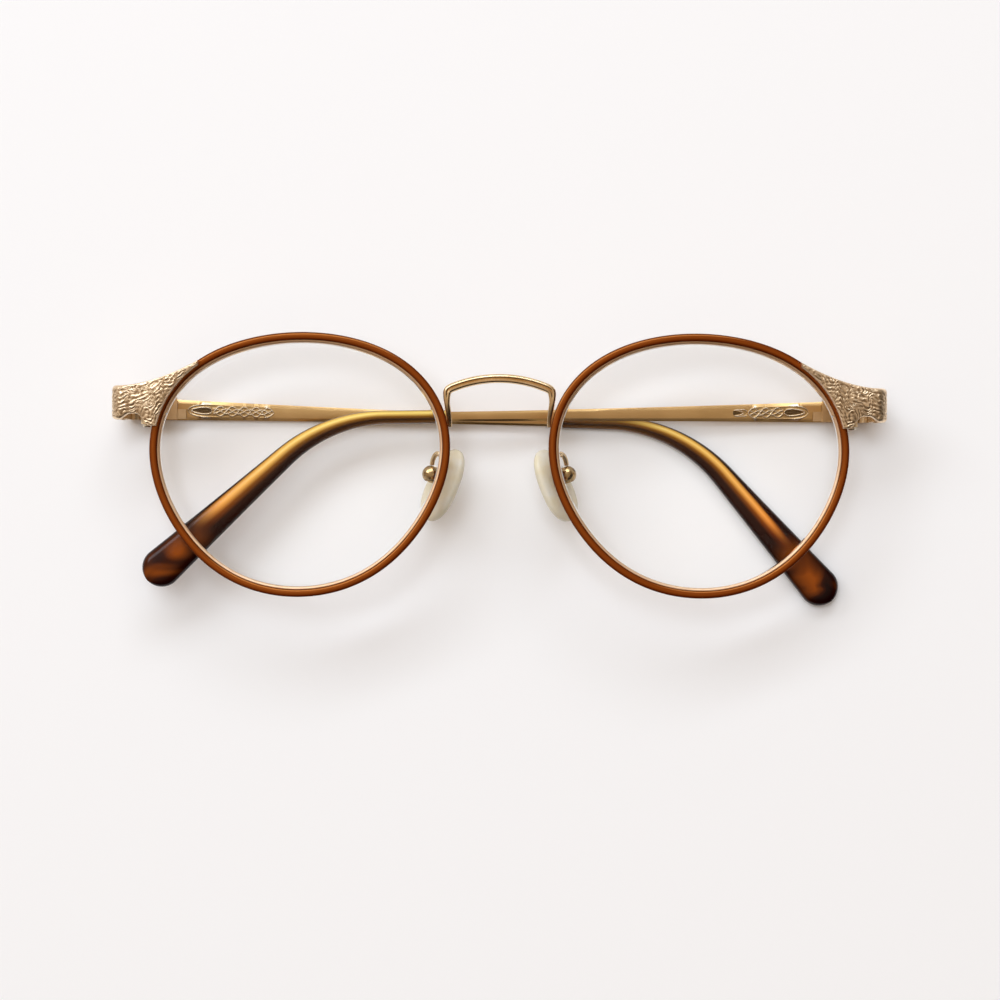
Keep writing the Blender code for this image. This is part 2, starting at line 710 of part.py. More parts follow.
def front_hinge(side, material, parent):
    """The front leaf on the flank's inner face, with the upper and lower knuckles."""
    half = BAR_HEIGHT / 2
    outer = BAR_OUTER - WING_THICKNESS - SEAM
    inner = outer - HINGE_LEAF
    leaf = block((inner, -half, -KNUCKLE_RADIUS / 4), (outer, half, HINGE_FRONT_LENGTH))
    made = solid(side_name("front_hinge", side), leaf, material, parent, side)
    slot_half = KNUCKLE_HEIGHT / 2 + KNUCKLE_GAP
    name = side_name("helper_front", side)
    for end, (low, high) in enumerate([(-half, -slot_half), (slot_half, half)]):
        added = helper(f"{name}_knuckle_{end}", knuckle(low, high), parent, side)
        combine(made, added, "UNION")
    reach = KNUCKLE_RADIUS + KNUCKLE_CLEAR
    slot = block((-2 * reach, -slot_half, -2 * reach), (2 * reach, slot_half, reach))
    combine(made, helper(f"{name}_slot", slot, parent, side), "DIFFERENCE")
    combine(made, screw_hole(f"{name}_hole", parent, side), "DIFFERENCE")
    return made


def temple_hinge(side, material, parent):
    """The temple leaf on the bar's inner face, with the middle knuckle and a stepped tail."""
    low = -BAR_INNER + SEAM
    high = low + HINGE_LEAF
    half = BAR_HEIGHT / 2 - FIT
    start = KNUCKLE_RADIUS + 2 * KNUCKLE_CLEAR
    leaf = block((start, -half, low), (HINGE_TEMPLE_LENGTH, half, high))
    made = solid(side_name("temple_hinge", side), leaf, material, parent, -side)
    name = side_name("helper_temple", side)
    tail_start = HINGE_TEMPLE_LENGTH - HINGE_LEAF
    tail_end = HINGE_TEMPLE_LENGTH + HINGE_TAIL_LENGTH
    tail_high = low + HINGE_TAIL_THICKNESS
    tail = block((tail_start, FIT - half, low), (tail_end, -FIT, tail_high))
    combine(made, helper(f"{name}_tail", tail, parent, -side), "UNION")
    middle = KNUCKLE_HEIGHT / 2
    web = block((0.0, -middle, low), (start + HINGE_LEAF, middle, high - FIT))
    combine(made, helper(f"{name}_web", web, parent, -side), "UNION")
    barrel = helper(f"{name}_knuckle", knuckle(-middle, middle), parent, -side)
    combine(made, barrel, "UNION")
    combine(made, screw_hole(f"{name}_hole", parent, -side), "DIFFERENCE")
    return made


def hinge_screw(side, material, parent):
    """The hinge screw: head over the upper knuckle, shank down through all three."""
    half = BAR_HEIGHT / 2
    profile = [
        (HINGE_SCREW_RADIUS * HEAD_FLAT, -half),
        (HINGE_SCREW_RADIUS, -half + FIT),
        (HINGE_SCREW_RADIUS, half + FIT),
        (HINGE_HEAD_RADIUS, half + FIT),
        (HINGE_HEAD_RADIUS, half + FIT + HINGE_HEAD_HEIGHT * HEAD_WALL),
        (HINGE_HEAD_RADIUS * HEAD_FLAT, half + FIT + HINGE_HEAD_HEIGHT),
    ]
    return solid(side_name("hinge_screw", side), turned(profile), material, parent, side)


# Temple, its core wire and its acetate sleeve, from the hinge axis along +x

def temple_bend(side):
    """How far a temple drops on its way back, and how far it bends down behind the ear."""
    return (RIGHT_DROP, RIGHT_BEND) if side > 0 else (LEFT_DROP, LEFT_BEND)


def temple_line(places, side):
    """Centre line at distances along it: x, y and the downward heading, found by adding up steps."""
    steps = np.linspace(-4 * BAR_BUTT, TEMPLE_END + BAR_BUTT, 4001)
    drop, bend = temple_bend(side)
    heading = drop + np.clip((steps - TEMPLE_BEND_START) / TEMPLE_BEND_RADIUS, 0.0, bend)
    step = steps[1] - steps[0]
    x = np.cumsum(np.cos(heading)) * step
    y = -np.cumsum(np.sin(heading)) * step
    x -= np.interp(0.0, steps, x)
    y -= np.interp(0.0, steps, y)
    return [np.interp(places, steps, line) for line in (x, y, heading)]


def temple_rings(places, side, sections):
    """Rings square to the centre line, from sections of (up, z) points at each place."""
    x, y, heading = temple_line(places, side)
    up = sections[:, :, 0]
    rings = np.zeros((*up.shape, 3))
    rings[:, :, 0] = x[:, None] + up * np.sin(heading)[:, None]
    rings[:, :, 1] = y[:, None] + up * np.cos(heading)[:, None]
    rings[:, :, 2] = sections[:, :, 1]
    return rings


def bend_places(side, count):
    """Places evenly along a temple's bend, from its start to its end."""
    end = TEMPLE_BEND_START + TEMPLE_BEND_RADIUS * temple_bend(side)[1]
    return np.linspace(TEMPLE_BEND_START, end, count)


def temple(side, material, parent):
    """The flat metal bar, tapering to the sleeve's mouth, then the thin core wire inside it."""
    bar = np.linspace(-BAR_BUTT, TEMPLE_MOUTH - SEAM, 14)
    core = np.concatenate([bar[-1:], bend_places(side, 10), [CORE_END]])
    places = np.concatenate([bar, core])
    on_bar = np.arange(len(places)) < len(bar)
    left_to_mouth = np.clip(1 - places / TEMPLE_MOUTH, 0.0, 1.0)
    bar_height = BAR_MOUTH_HEIGHT + (BAR_HEIGHT - BAR_MOUTH_HEIGHT) * left_to_mouth**BAR_TAPER
    height = np.where(on_bar, bar_height, CORE_HEIGHT)
    thickness = np.where(on_bar, BAR_THICKNESS, CORE_THICKNESS)
    sections = chamfered_sections(height / 2, thickness / 2)
    shape = skin(temple_rings(places, side, sections))
    return solid(side_name("temple", side), shape, material, parent, -side)


def chamfered_sections(half_height, half_thickness):
    """Rectangles with cut corners, one at each place, as (up, z) points."""
    cut = BAR_CHAMFER
    corners = [(1, 1, 1, 0), (1, 1, 0, 1), (1, -1, 0, 1), (1, -1, 1, 0)]
    corners += [(-1, -1, 1, 0), (-1, -1, 0, 1), (-1, 1, 0, 1), (-1, 1, 1, 0)]
    sections = np.zeros((len(half_height), len(corners), 2))
    for at, (up, out, cut_up, cut_out) in enumerate(corners):
        sections[:, at, 0] = up * (half_height - cut * cut_up)
        sections[:, at, 1] = BAR_MIDDLE + out * (half_thickness - cut * cut_out)
    return sections


def sleeve_size(places):
    """Width and thickness of the sleeve at distances along the temple, before its round end."""
    share = np.clip((places - TEMPLE_BEND_START) / (TEMPLE_CAP - TEMPLE_BEND_START), 0.0, 1.0)
    growth = SLEEVE_TIP_WIDTH - SLEEVE_MOUTH_WIDTH
    width = SLEEVE_MOUTH_WIDTH + growth * share**SLEEVE_WIDENING
    stops = [TEMPLE_MOUTH, TEMPLE_BEND_START, TEMPLE_CAP]
    sizes = [SLEEVE_MOUTH_THICKNESS, SLEEVE_BEND_THICKNESS, SLEEVE_TIP_THICKNESS]
    return width, np.interp(places, stops, sizes)


def squared(wave):
    """A sine or cosine pushed outwards, which squares up the sleeve's round section."""
    return np.sign(wave) * np.abs(wave) ** SLEEVE_SQUARENESS


def temple_tip(side, material, parent):
    """The acetate sleeve: a bored tube whose flat outer side the folded glasses lie on."""
    cap = SLEEVE_CAP_RINGS
    bend = bend_places(side, 12)
    body = np.concatenate([
        [TEMPLE_MOUTH, (TEMPLE_MOUTH + TEMPLE_BEND_START) / 2],
        bend,
        np.linspace(bend[-1], TEMPLE_CAP, 5)[1:],
    ])
    places = np.concatenate([body, TEMPLE_CAP + SLEEVE_TIP_WIDTH / 2 * np.sin(cap)])
    width, thickness = sleeve_size(places)
    round_off = np.concatenate([np.ones(len(body)), np.cos(cap)])
    around = np.linspace(0.0, 2 * pi, SLEEVE_SIDES, endpoint=False) + pi / SLEEVE_SIDES
    up = squared(np.cos(around))
    out = np.maximum(squared(np.sin(around)), -SLEEVE_FLAT)
    share = (out + SLEEVE_FLAT) / (1 + SLEEVE_FLAT)
    sections = np.zeros((len(places), SLEEVE_SIDES, 2))
    sections[:, :, 0] = up[None, :] * (width * round_off)[:, None] / 2
    outer_face = -HINGE_RISE
    thin = thickness * (SLEEVE_CAP_EDGE + (1 - SLEEVE_CAP_EDGE) * round_off)
    lift = (thickness - thin) / 2
    sections[:, :, 1] = outer_face + lift[:, None] + share[None, :] * thin[:, None]
    outer = temple_rings(places, side, sections)
    inner = sleeve_bore(side, around)
    x, y, heading = temple_line(np.array([CORE_END + SEAM, TEMPLE_END]), side)
    bore_pole = (x[0], y[0], BAR_MIDDLE)
    end_pole = (x[1], y[1], outer_face + thickness[-1] / 2)
    rings = np.concatenate([inner[::-1], outer])
    shape = domed_skin(rings, bore_pole, end_pole)
    return solid(side_name("temple_tip", side), shape, material, parent, -side)


def sleeve_bore(side, around):
    """Rings of the bore that the core wire fits, from the mouth to its blind end."""
    places = np.concatenate([[TEMPLE_MOUTH], bend_places(side, 10), [CORE_END + SEAM]])
    half_up = CORE_HEIGHT / 2 + FIT
    half_out = CORE_THICKNESS / 2 + FIT
    longest = np.maximum(np.abs(np.cos(around)), np.abs(np.sin(around)))
    up = np.cos(around) / longest * half_up
    out = np.sin(around) / longest * half_out + BAR_MIDDLE
    sections = np.tile(np.stack([up, out], axis=1), (len(places), 1, 1))
    return temple_rings(places, side, sections)


# Nose pads

def pad_frame():
    """Turns pad axes into front axes on side 1: x to the mount side, y up the pad, z across it."""
    return Matrix.Rotation(PAD_RAKE, 3, "Z") @ Matrix.Rotation(-PAD_SPLAY, 3, "Y")


def pad_outline_rings():
    """Rings of the domed oval pad, from its mount side to its nose side, in pad axes."""
    around = np.linspace(0.0, 2 * pi, 24, endpoint=False)
    radius = np.abs(np.cos(around)) ** PAD_OVAL_POWER + np.abs(np.sin(around)) ** PAD_OVAL_POWER
    oval = np.stack([np.cos(around), np.sin(around)], axis=1) / radius[:, None] ** (1 / PAD_OVAL_POWER)
    lean = 1 + PAD_EGG_SHARE * np.sin(around)
    half = PAD_THICKNESS / 2
    rings = []
    for share, height in PAD_SECTION:
        ring = np.zeros((len(around), 3))
        ring[:, 0] = height * half
        ring[:, 1] = oval[:, 1] * share * PAD_LENGTH / 2
        ring[:, 2] = oval[:, 0] * share * PAD_WIDTH / 2 / lean
        rings.append(ring)
    return rings


def insert_blocks(grow):
    """The metal plate inside a pad and the lug that stands out of it, each grown all round."""
    half = INSERT_THICKNESS / 2 + grow
    plate = block(
        (-PAD_STAND_OFF - half, -PAD_DROP - INSERT_LENGTH / 2 - grow, -INSERT_WIDTH / 2 - grow),
        (-PAD_STAND_OFF + half, -PAD_DROP + INSERT_LENGTH / 2 + grow, INSERT_WIDTH / 2 + grow),
    )
    lug = block(
        (-PAD_STAND_OFF, -LUG_LENGTH / 2 - grow, -LUG_WIDTH / 2 - grow),
        (LUG_LENGTH / 2 + grow, LUG_LENGTH / 2 + grow, LUG_WIDTH / 2 + grow),
    )
    return plate, lug


def pin_shape(radius, half_length):
    """A round bar along the pad's z axis, through the pin's centre."""
    bar = turned([(radius, -half_length), (radius, half_length)], 10)
    return rotated(bar, Matrix.Rotation(pi / 2, 3, "X"))


def pad(side, material, parent):
    """The soft pad, moulded round its insert, with a slot where the lug comes out."""
    frame = pad_frame()
    rings = pad_outline_rings()
    points, faces = domed_skin(rings, (PAD_THICKNESS / 2, 0, 0), (-PAD_THICKNESS / 2, 0, 0))
    shape = rotated(moved((points, faces), (-PAD_STAND_OFF, -PAD_DROP, 0.0)), frame)
    made = solid(side_name("pad", side), shape, material, parent, side, radians(50.0))
    for part, cut in zip(("plate", "lug"), insert_blocks(FIT)):
        name = side_name(f"cutter_pad_{part}", side)
        combine(made, helper(name, rotated(cut, frame), parent, side), "DIFFERENCE")
    return made


def pad_insert(side, material, parent):
    """The plate and lug that join the pad to its pin."""
    frame = pad_frame()
    plate, lug = insert_blocks(0.0)
    made = solid(side_name("pad_insert", side), rotated(plate, frame), material, parent, side)
    name = side_name("helper_insert", side)
    combine(made, helper(f"{name}_lug", rotated(lug, frame), parent, side), "UNION")
    hole = rotated(pin_shape(PAD_PIN_RADIUS + FIT / 2, PAD_BOX_RADIUS), frame)
    combine(made, helper(f"{name}_hole", hole, parent, side), "DIFFERENCE")
    return made


def pad_box(side, material, parent):
    """The round box at the arm's end: slotted for the lug, bored for the pin."""
    frame = pad_frame()
    made = bmesh.new()
    bmesh.ops.create_uvsphere(made, u_segments=16, v_segments=10, radius=PAD_BOX_RADIUS)
    ball = solid(side_name("pad_box", side), from_bmesh(made), material, parent, side)
    name = side_name("cutter_box", side)
    wide = LUG_WIDTH / 2 + FIT
    reach = 2 * PAD_BOX_RADIUS
    slot = block((-reach, -reach, -wide), (LUG_LENGTH / 2 + 2 * FIT, reach, wide))
    combine(ball, helper(f"{name}_slot", rotated(slot, frame), parent, side), "DIFFERENCE")
    hole = rotated(pin_shape(PAD_PIN_RADIUS + FIT / 2, reach), frame)
    combine(ball, helper(f"{name}_hole", hole, parent, side), "DIFFERENCE")
    return ball


def pad_pin(side, material, parent):
    """The cross pin that the pad rocks on."""
    shape = rotated(pin_shape(PAD_PIN_RADIUS, PAD_PIN_LENGTH / 2), pad_frame())
    return solid(side_name("pad_pin", side), shape, material, parent, side)


def pad_arm(side, material, parent, pin):
    """The bent wire from behind the eyewire, up in a loop and down to the box."""
    back = -EYEWIRE_DEPTH / 2 - SEAM - ARM_RADIUS
    foot = Vector(rim_point(ARM_FOOT_ANGLE, -FIT, back)[0])
    end_way = Vector(ARM_END_WAY).normalized()
    end = pin + end_way * (PAD_BOX_RADIUS + SEAM)
    loop = Vector((0.0, ARM_LOOP_RISE, 0.0))
    line = interpolate_bezier(foot, foot + loop, end + end_way * ARM_LOOP_RISE, end, 14)
    curve = bpy.data.curves.new(side_name("pad_arm", side), "CURVE")
    curve.dimensions = "3D"
    curve.bevel_depth = ARM_RADIUS
    curve.bevel_resolution = 2
    curve.use_fill_caps = True
    spline = curve.splines.new("POLY")
    spline.points.add(len(line) - 1)
    for point, place in zip(spline.points, line):
        point.co = (side * place.x, place.y, place.z, 1.0)
    curve.materials.append(material)
    made = bpy.data.objects.new(curve.name, curve)
    made.parent = parent
    bpy.context.scene.collection.objects.link(made)
    return made


# Assembly

def side_name(name, side):
    return f"{name}_{'right' if side > 0 else 'left'}"


def centre_shift():
    """How far the front's own origin lies above the middle of the whole object."""
    top = rim_point(np.linspace(0.0, pi, 90), COVER_WIDTH, 0.0)[:, 1].max()
    _, y, _ = temple_line(np.array([TEMPLE_CAP]), -1)
    bottom = HINGE_Y + y[0] - SLEEVE_TIP_WIDTH / 2
    return -(top + bottom) / 2


def build():
    clear_scene()
    gold = metal("champagne_gold", (0.62, 0.48, 0.27), 0.28)
    relief = metal("cast_gold", (0.66, 0.53, 0.34), 0.42)
    brass = metal("brass_wire", (0.70, 0.52, 0.26), 0.22)
    steel = metal("screw_steel", (0.62, 0.58, 0.50), 0.30)
    brown = finish("brown_acetate", (0.26, 0.045, 0.008), 0.18)
    dark = finish("tortoise_acetate", (0.055, 0.012, 0.004), 0.12)
    ivory = finish("pad_silicone", (0.80, 0.72, 0.55), 0.35, transmission=0.3)
    clear = finish("clear_lens", (0.97, 0.98, 0.97), 0.0, transmission=1.0)

    shift = centre_shift()
    front = empty("front_frame", (0.0, shift, HINGE_RISE))
    bridge(brass, front)
    for side in (-1, 1):
        lens(side, clear, front)
        eyewire(side, brass, front)
        rim_cover(side, brown, front)
        endpiece(side, relief, front)
        lock_block(side, True, gold, front)
        lock_block(side, False, gold, front)
        lock_screw(side, steel, front)

        hinge_place = (side * HINGE_X, HINGE_Y, 0.0)
        hinge_frame = empty(side_name("hinge_frame", side), hinge_place, parent=front)
        front_hinge(side, gold, hinge_frame)
        hinge_screw(side, steel, hinge_frame)
        fold = RIGHT_OVERFOLD if side > 0 else 0.0
        temple_frame = empty(side_name("temple_frame", side), hinge_place, fold, front)
        temple_hinge(side, gold, temple_frame)
        temple(side, gold, temple_frame)
        temple_tip(side, dark, temple_frame)

        pin_rise = surface_height(LENS_WIDTH / -2, 0.0) - PAD_PIN_BACK
        pin = Vector((NOSE_GAP / 2 + PAD_PIN_OUT, PAD_PIN_Y, pin_rise))
        pad_place = (side * pin.x, pin.y, pin.z)
        pad_holder = empty(side_name("pad_frame", side), pad_place, parent=front)
        pad(side, ivory, pad_holder)
        pad_insert(side, brass, pad_holder)
        pad_box(side, brass, pad_holder)
        pad_pin(side, steel, pad_holder)
        pad_arm(side, brass, front, pin)


build()
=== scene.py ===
# %% [markdown]
# # Round eyeglasses, folded
#
# A pair of metal glasses lies folded and face up. Thin brown acetate covers the rims, the corners
# are cast with leafy relief, and the flat temples end in tortoise acetate.
#
# The CAD part says where everything is and how it moves. Here each visible piece is drawn again as
# a fine surface on the same curves, and gets a finish from nodes. A shape is always a grid of
# points worked out with numpy: one direction runs along the piece, the other round it.

# %% Load the frame
import json
from math import cos, pi, radians, sin, tan

import bmesh
import bpy
import numpy as np
from mathutils import Matrix, Vector
from mathutils.geometry import interpolate_bezier


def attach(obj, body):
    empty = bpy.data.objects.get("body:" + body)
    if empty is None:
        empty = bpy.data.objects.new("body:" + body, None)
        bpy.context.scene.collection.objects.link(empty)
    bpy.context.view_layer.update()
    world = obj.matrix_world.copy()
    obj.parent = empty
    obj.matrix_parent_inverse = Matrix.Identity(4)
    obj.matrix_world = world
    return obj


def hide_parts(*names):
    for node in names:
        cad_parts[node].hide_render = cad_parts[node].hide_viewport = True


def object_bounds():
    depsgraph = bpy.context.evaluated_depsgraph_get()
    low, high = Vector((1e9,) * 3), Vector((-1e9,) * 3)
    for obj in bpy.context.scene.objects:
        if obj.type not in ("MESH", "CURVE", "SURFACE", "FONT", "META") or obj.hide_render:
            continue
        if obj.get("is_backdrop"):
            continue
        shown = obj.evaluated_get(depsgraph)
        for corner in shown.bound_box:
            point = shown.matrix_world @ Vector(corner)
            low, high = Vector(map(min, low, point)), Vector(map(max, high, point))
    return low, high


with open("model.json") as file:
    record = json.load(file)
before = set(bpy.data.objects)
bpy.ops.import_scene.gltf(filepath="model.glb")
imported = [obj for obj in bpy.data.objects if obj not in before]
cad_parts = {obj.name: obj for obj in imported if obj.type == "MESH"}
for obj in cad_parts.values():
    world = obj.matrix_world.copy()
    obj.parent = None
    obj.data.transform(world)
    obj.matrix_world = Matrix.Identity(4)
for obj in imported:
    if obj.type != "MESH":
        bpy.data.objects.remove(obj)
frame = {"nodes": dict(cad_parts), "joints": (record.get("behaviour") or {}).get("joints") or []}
cad_low, cad_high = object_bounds()
SIDES = {"left": -1, "right": 1}

# %% [markdown]
# ## The camera
#
# The photograph looks straight down from half a metre above the front. It could be copied with any
# lens, but only this distance makes the temples, which lie lower than the front, as small as they
# are there. The camera's x and y put its axis where the photograph's perspective has its centre.

# %% Camera
CAMERA_PLACE = (0.00016, -0.0053, 0.5135)
CAMERA_ROLL = radians(0.24)
CAMERA_LENS = 101.7

camera_data = bpy.data.cameras.new("camera")
camera_data.lens = CAMERA_LENS
camera_data.sensor_width = 36.0
camera_data.clip_start = 0.01
camera = bpy.data.objects.new("camera", camera_data)
camera.location = CAMERA_PLACE
camera.rotation_euler = (0.0, 0.0, CAMERA_ROLL)
bpy.context.scene.collection.objects.link(camera)
bpy.context.scene.camera = camera
bpy.context.scene.view_settings.view_transform = "Standard"
print("camera height", CAMERA_PLACE[2])

# %% [markdown]
# ## A grid of points becomes a piece
#
# Curves and modifiers could make many of these pieces, each in its own way. Here every surface is
# an array of points with two indices, so that one helper can join neighbours with quads for all of
# them. Where a row has shrunk to a single point, as at a pole or a closed end, the doubles are
# merged. The sign of the volume says whether the faces look out, and turns them round if not.

# %% Mesh helpers
MERGE = 2e-7


def grid_faces(rows, columns, closed):
    """Quads between neighbours of a grid whose columns wrap round, and whose rows do if closed."""
    index = np.arange(rows * columns).reshape(rows, columns)
    index = np.hstack([index, index[:, :1]])
    if closed:
        index = np.vstack([index, index[:1]])
    quads = np.stack([index[:-1, :-1], index[:-1, 1:], index[1:, 1:], index[1:, :-1]], axis=-1)
    return quads.reshape(-1, 4)


def volume(points, quads):
    """Six times the volume inside: each quad's corners crossed and dotted as two triangles."""
    a, b, c, d = (points[quads[:, at]] for at in range(4))
    return np.einsum("ij,ij->", a, np.cross(b, c) + np.cross(c, d))


def make_piece(name, grid, material, closed=False, sharp=40.0, **attributes):
    """A mesh object from a grid of points, with any grids of numbers as point attributes."""
    rows, columns = grid.shape[:2]
    points = grid.reshape(-1, 3)
    quads = grid_faces(rows, columns, closed)
    if volume(points - points.mean(axis=0), quads) < 0:
        quads = quads[:, ::-1]
    mesh = bpy.data.meshes.new(name)
    mesh.from_pydata(points.tolist(), [], quads.tolist())
    for key, values in attributes.items():
        layer = mesh.attributes.new(key, "FLOAT", "POINT")
        layer.data.foreach_set("value", np.broadcast_to(values, grid.shape[:2]).ravel().astype("f4"))
    shape = bmesh.new()
    shape.from_mesh(mesh)
    bmesh.ops.remove_doubles(shape, verts=shape.verts, dist=MERGE)
    shape.to_mesh(mesh)
    shape.free()
    mesh.shade_smooth()
    mesh.set_sharp_from_angle(angle=radians(sharp))
    mesh.materials.append(material)
    made = bpy.data.objects.new(name, mesh)
    bpy.context.scene.collection.objects.link(made)
    return made


def place_piece(piece, body, node):
    """Rides the piece on its body and hides the CAD node that it stands for."""
    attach(piece, body)
    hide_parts(node)
    print(piece.name, len(piece.data.polygons), "faces")
    return piece


def with_ends(rings):
    """Closes a tube: adds the middle of the first and of the last ring as shrunken rows."""
    first = np.broadcast_to(rings[:1].mean(axis=1, keepdims=True), rings[:1].shape)
    last = np.broadcast_to(rings[-1:].mean(axis=1, keepdims=True), rings[:1].shape)
    return np.concatenate([first, rings, last])


def smooth_step(share):
    """0 below 0, 1 above 1, and the S curve 3 s^2 - 2 s^3 between."""
    share = np.clip(share, 0.0, 1.0)
    return share * share * (3 - 2 * share)


def squared(wave, power):
    """A cosine or sine made squarer: its size to a power below 1, with its sign kept."""
    return np.sign(wave) * np.abs(wave) ** power


print("a tube of 3 closed rings of 4 points has", len(grid_faces(3, 4, True)), "quads")

# %% [markdown]
# ## Finishes from nodes
#
# Each finish is one Principled shader. A few noise textures in object space vary its colour, its
# roughness and its surface a little, because plated metal and polished acetate are never quite
# even. Painted pictures could do the same, but they need a UV map and blur close up, which a
# formula doesn't. Numbers that are the same everywhere are set on the shader itself.

# %% Node helpers


def new_finish(name, **values):
    """A material with one Principled shader whose plain values are set here."""
    made = bpy.data.materials.new(name)
    made.use_nodes = True
    shader = made.node_tree.nodes["Principled BSDF"]
    for key, value in values.items():
        shader.inputs[key.replace("_", " ")].default_value = value
    return made, made.node_tree, shader


def object_place(tree, scale=(1.0, 1.0, 1.0)):
    """Object coordinates, stretched by a Mapping node."""
    place = tree.nodes.new("ShaderNodeTexCoord")
    mapping = tree.nodes.new("ShaderNodeMapping")
    mapping.inputs["Scale"].default_value = scale
    tree.links.new(place.outputs["Object"], mapping.inputs["Vector"])
    return mapping.outputs["Vector"]


def noise(tree, vector, scale, detail=3.0, distortion=0.0):
    """Noise between 0 and 1 with features about 1 / scale across."""
    made = tree.nodes.new("ShaderNodeTexNoise")
    made.inputs["Scale"].default_value = scale
    made.inputs["Detail"].default_value = detail
    made.inputs["Distortion"].default_value = distortion
    tree.links.new(vector, made.inputs["Vector"])
    return made.outputs["Fac"]


def ramp(tree, factor, *stops):
    """A colour ramp through (position, colour) stops."""
    made = tree.nodes.new("ShaderNodeValToRGB")
    elements = made.color_ramp.elements
    while len(elements) < len(stops):
        elements.new(0.5)
    for element, (position, colour) in zip(elements, stops):
        element.position = position
        element.color = (*colour, 1.0)
    tree.links.new(factor, made.inputs["Fac"])
    return made.outputs["Color"]


def in_range(tree, factor, low, high, low_in=0.0, high_in=1.0):
    """Maps a factor from one range to another."""
    made = tree.nodes.new("ShaderNodeMapRange")
    made.inputs["From Min"].default_value = low_in
    made.inputs["From Max"].default_value = high_in
    made.inputs["To Min"].default_value = low
    made.inputs["To Max"].default_value = high
    tree.links.new(factor, made.inputs["Value"])
    return made.outputs["Result"]


def feed(tree, socket, value):
    """Gives a socket what it needs: a link from another socket, a plain colour or a plain number."""
    if isinstance(value, bpy.types.NodeSocket):
        tree.links.new(value, socket)
    elif isinstance(value, tuple):
        socket.default_value = (*value, 1.0)
    else:
        socket.default_value = value


def blend_colours(tree, factor, first, second, mode="MIX"):
    """Mixes two colours by a factor."""
    made = tree.nodes.new("ShaderNodeMix")
    made.data_type = "RGBA"
    made.blend_type = mode
    feed(tree, made.inputs["Factor"], factor)
    for name, colour in (("A", first), ("B", second)):
        feed(tree, next(s for s in made.inputs if s.name == name and s.type == "RGBA"), colour)
    return next(s for s in made.outputs if s.type == "RGBA")


def bump(tree, shader, height, distance):
    """Ripples the surface by a height factor times a distance, without moving it."""
    made = tree.nodes.new("ShaderNodeBump")
    made.inputs["Distance"].default_value = distance
    tree.links.new(height, made.inputs["Height"])
    tree.links.new(made.outputs["Normal"], shader.inputs["Normal"])


def attribute(tree, name):
    """A number that the piece carries at each of its points."""
    made = tree.nodes.new("ShaderNodeAttribute")
    made.attribute_name = name
    return made.outputs["Fac"]


# %% [markdown]
# ## Plated and cast metal
#
# The metal is a pale champagne gold. Wires and fittings need only two close golds in soft clouds.
# The cast corners and the panels of the temples get painted shade down in their grooves and a
# painted highlight on their crests. A shader could guess the grooves from how the surface bends,
# but the height of the relief is known when the mesh is worked out. It comes along as a number at
# each point, so the painted shade follows the shape exactly.

# %% Metal finishes
CHAMPAGNE = (0.98, 0.78, 0.55)
TEMPLE_GOLD = (0.68, 0.45, 0.205)
# The groove colours below are painted shade, and the crest colours painted highlights.
CAST_PAINTED_SHADE = (0.380, 0.250, 0.140)
CAST_PAINTED_HIGHLIGHT = (1.00, 0.94, 0.78)
PANEL_PAINTED_SHADE = (0.150, 0.095, 0.042)
PANEL_PAINTED_HIGHLIGHT = (1.00, 0.92, 0.78)
CLOUD_TINT = (0.86, 0.84, 0.80)
WHITE = (1.0, 1.0, 1.0)


def plated_metal(name, pale, deep, shine, dullness, grain):
    """Two close golds in soft clouds, and a fine grain that ripples the surface and its gloss."""
    made, tree, shader = new_finish(name, Metallic=1.0)
    clouds = noise(tree, object_place(tree), 260.0)
    tree.links.new(ramp(tree, clouds, (0.3, deep), (0.7, pale)), shader.inputs["Base Color"])
    fine = noise(tree, object_place(tree, (grain,) * 3), 1.0, 4.0)
    tree.links.new(in_range(tree, fine, shine, dullness), shader.inputs["Roughness"])
    bump(tree, shader, fine, 3e-6)
    return made


def relief_metal(name, groove, gold, crest_highlight, clouds_scale, pits):
    """Colour by the attribute relief: painted shade in the grooves at 0, plain gold in the middle, a
    painted highlight on the crests at 1.
    """
    made, tree, shader = new_finish(name, Metallic=1.0)
    relief = attribute(tree, "relief")
    # Painted shade in the grooves, plain gold between, and a painted highlight on the crests.
    painted_relief_light = ramp(tree, relief, (0.05, groove), (0.48, gold), (0.82, gold), (1.0, crest_highlight))
    clouds = noise(tree, object_place(tree), clouds_scale)
    shade = ramp(tree, clouds, (0.3, CLOUD_TINT), (0.7, WHITE))
    shaded = blend_colours(tree, 1.0, painted_relief_light, shade, "MULTIPLY")
    tree.links.new(shaded, shader.inputs["Base Color"])
    tree.links.new(in_range(tree, relief, 0.50, 0.26), shader.inputs["Roughness"])
    bump(tree, shader, noise(tree, object_place(tree), 5200.0, 2.0), pits)
    return made


wire_gold = plated_metal("wire_gold", (0.88, 0.68, 0.44), (0.74, 0.54, 0.30), 0.16, 0.26, 2500.0)
# The eyewire's lip gets a paler gold, painted as the light that its round edge catches.
lip_gold_painted_light = plated_metal("lip_gold_painted_light", (0.96, 0.70, 0.48), (0.90, 0.62, 0.40), 0.46, 0.56, 2500.0)
fitting_gold = plated_metal("fitting_gold", (0.78, 0.60, 0.38), (0.62, 0.45, 0.25), 0.26, 0.40, 3000.0)
# The pad boxes get a darker gold, painted as shade.
ball_gold_painted_shade = plated_metal("ball_gold_painted_shade", (0.50, 0.36, 0.19), (0.38, 0.25, 0.12), 0.12, 0.20, 3000.0)
screw_metal = plated_metal("screw_metal", (0.76, 0.68, 0.54), (0.62, 0.54, 0.42), 0.20, 0.32, 4000.0)
cast_gold = relief_metal("cast_gold", CAST_PAINTED_SHADE, CHAMPAGNE, CAST_PAINTED_HIGHLIGHT, 420.0, 1.0e-5)
temple_gold = relief_metal("temple_gold", PANEL_PAINTED_SHADE, TEMPLE_GOLD, PANEL_PAINTED_HIGHLIGHT, 190.0, 1.0e-6)
print("metal finishes made")
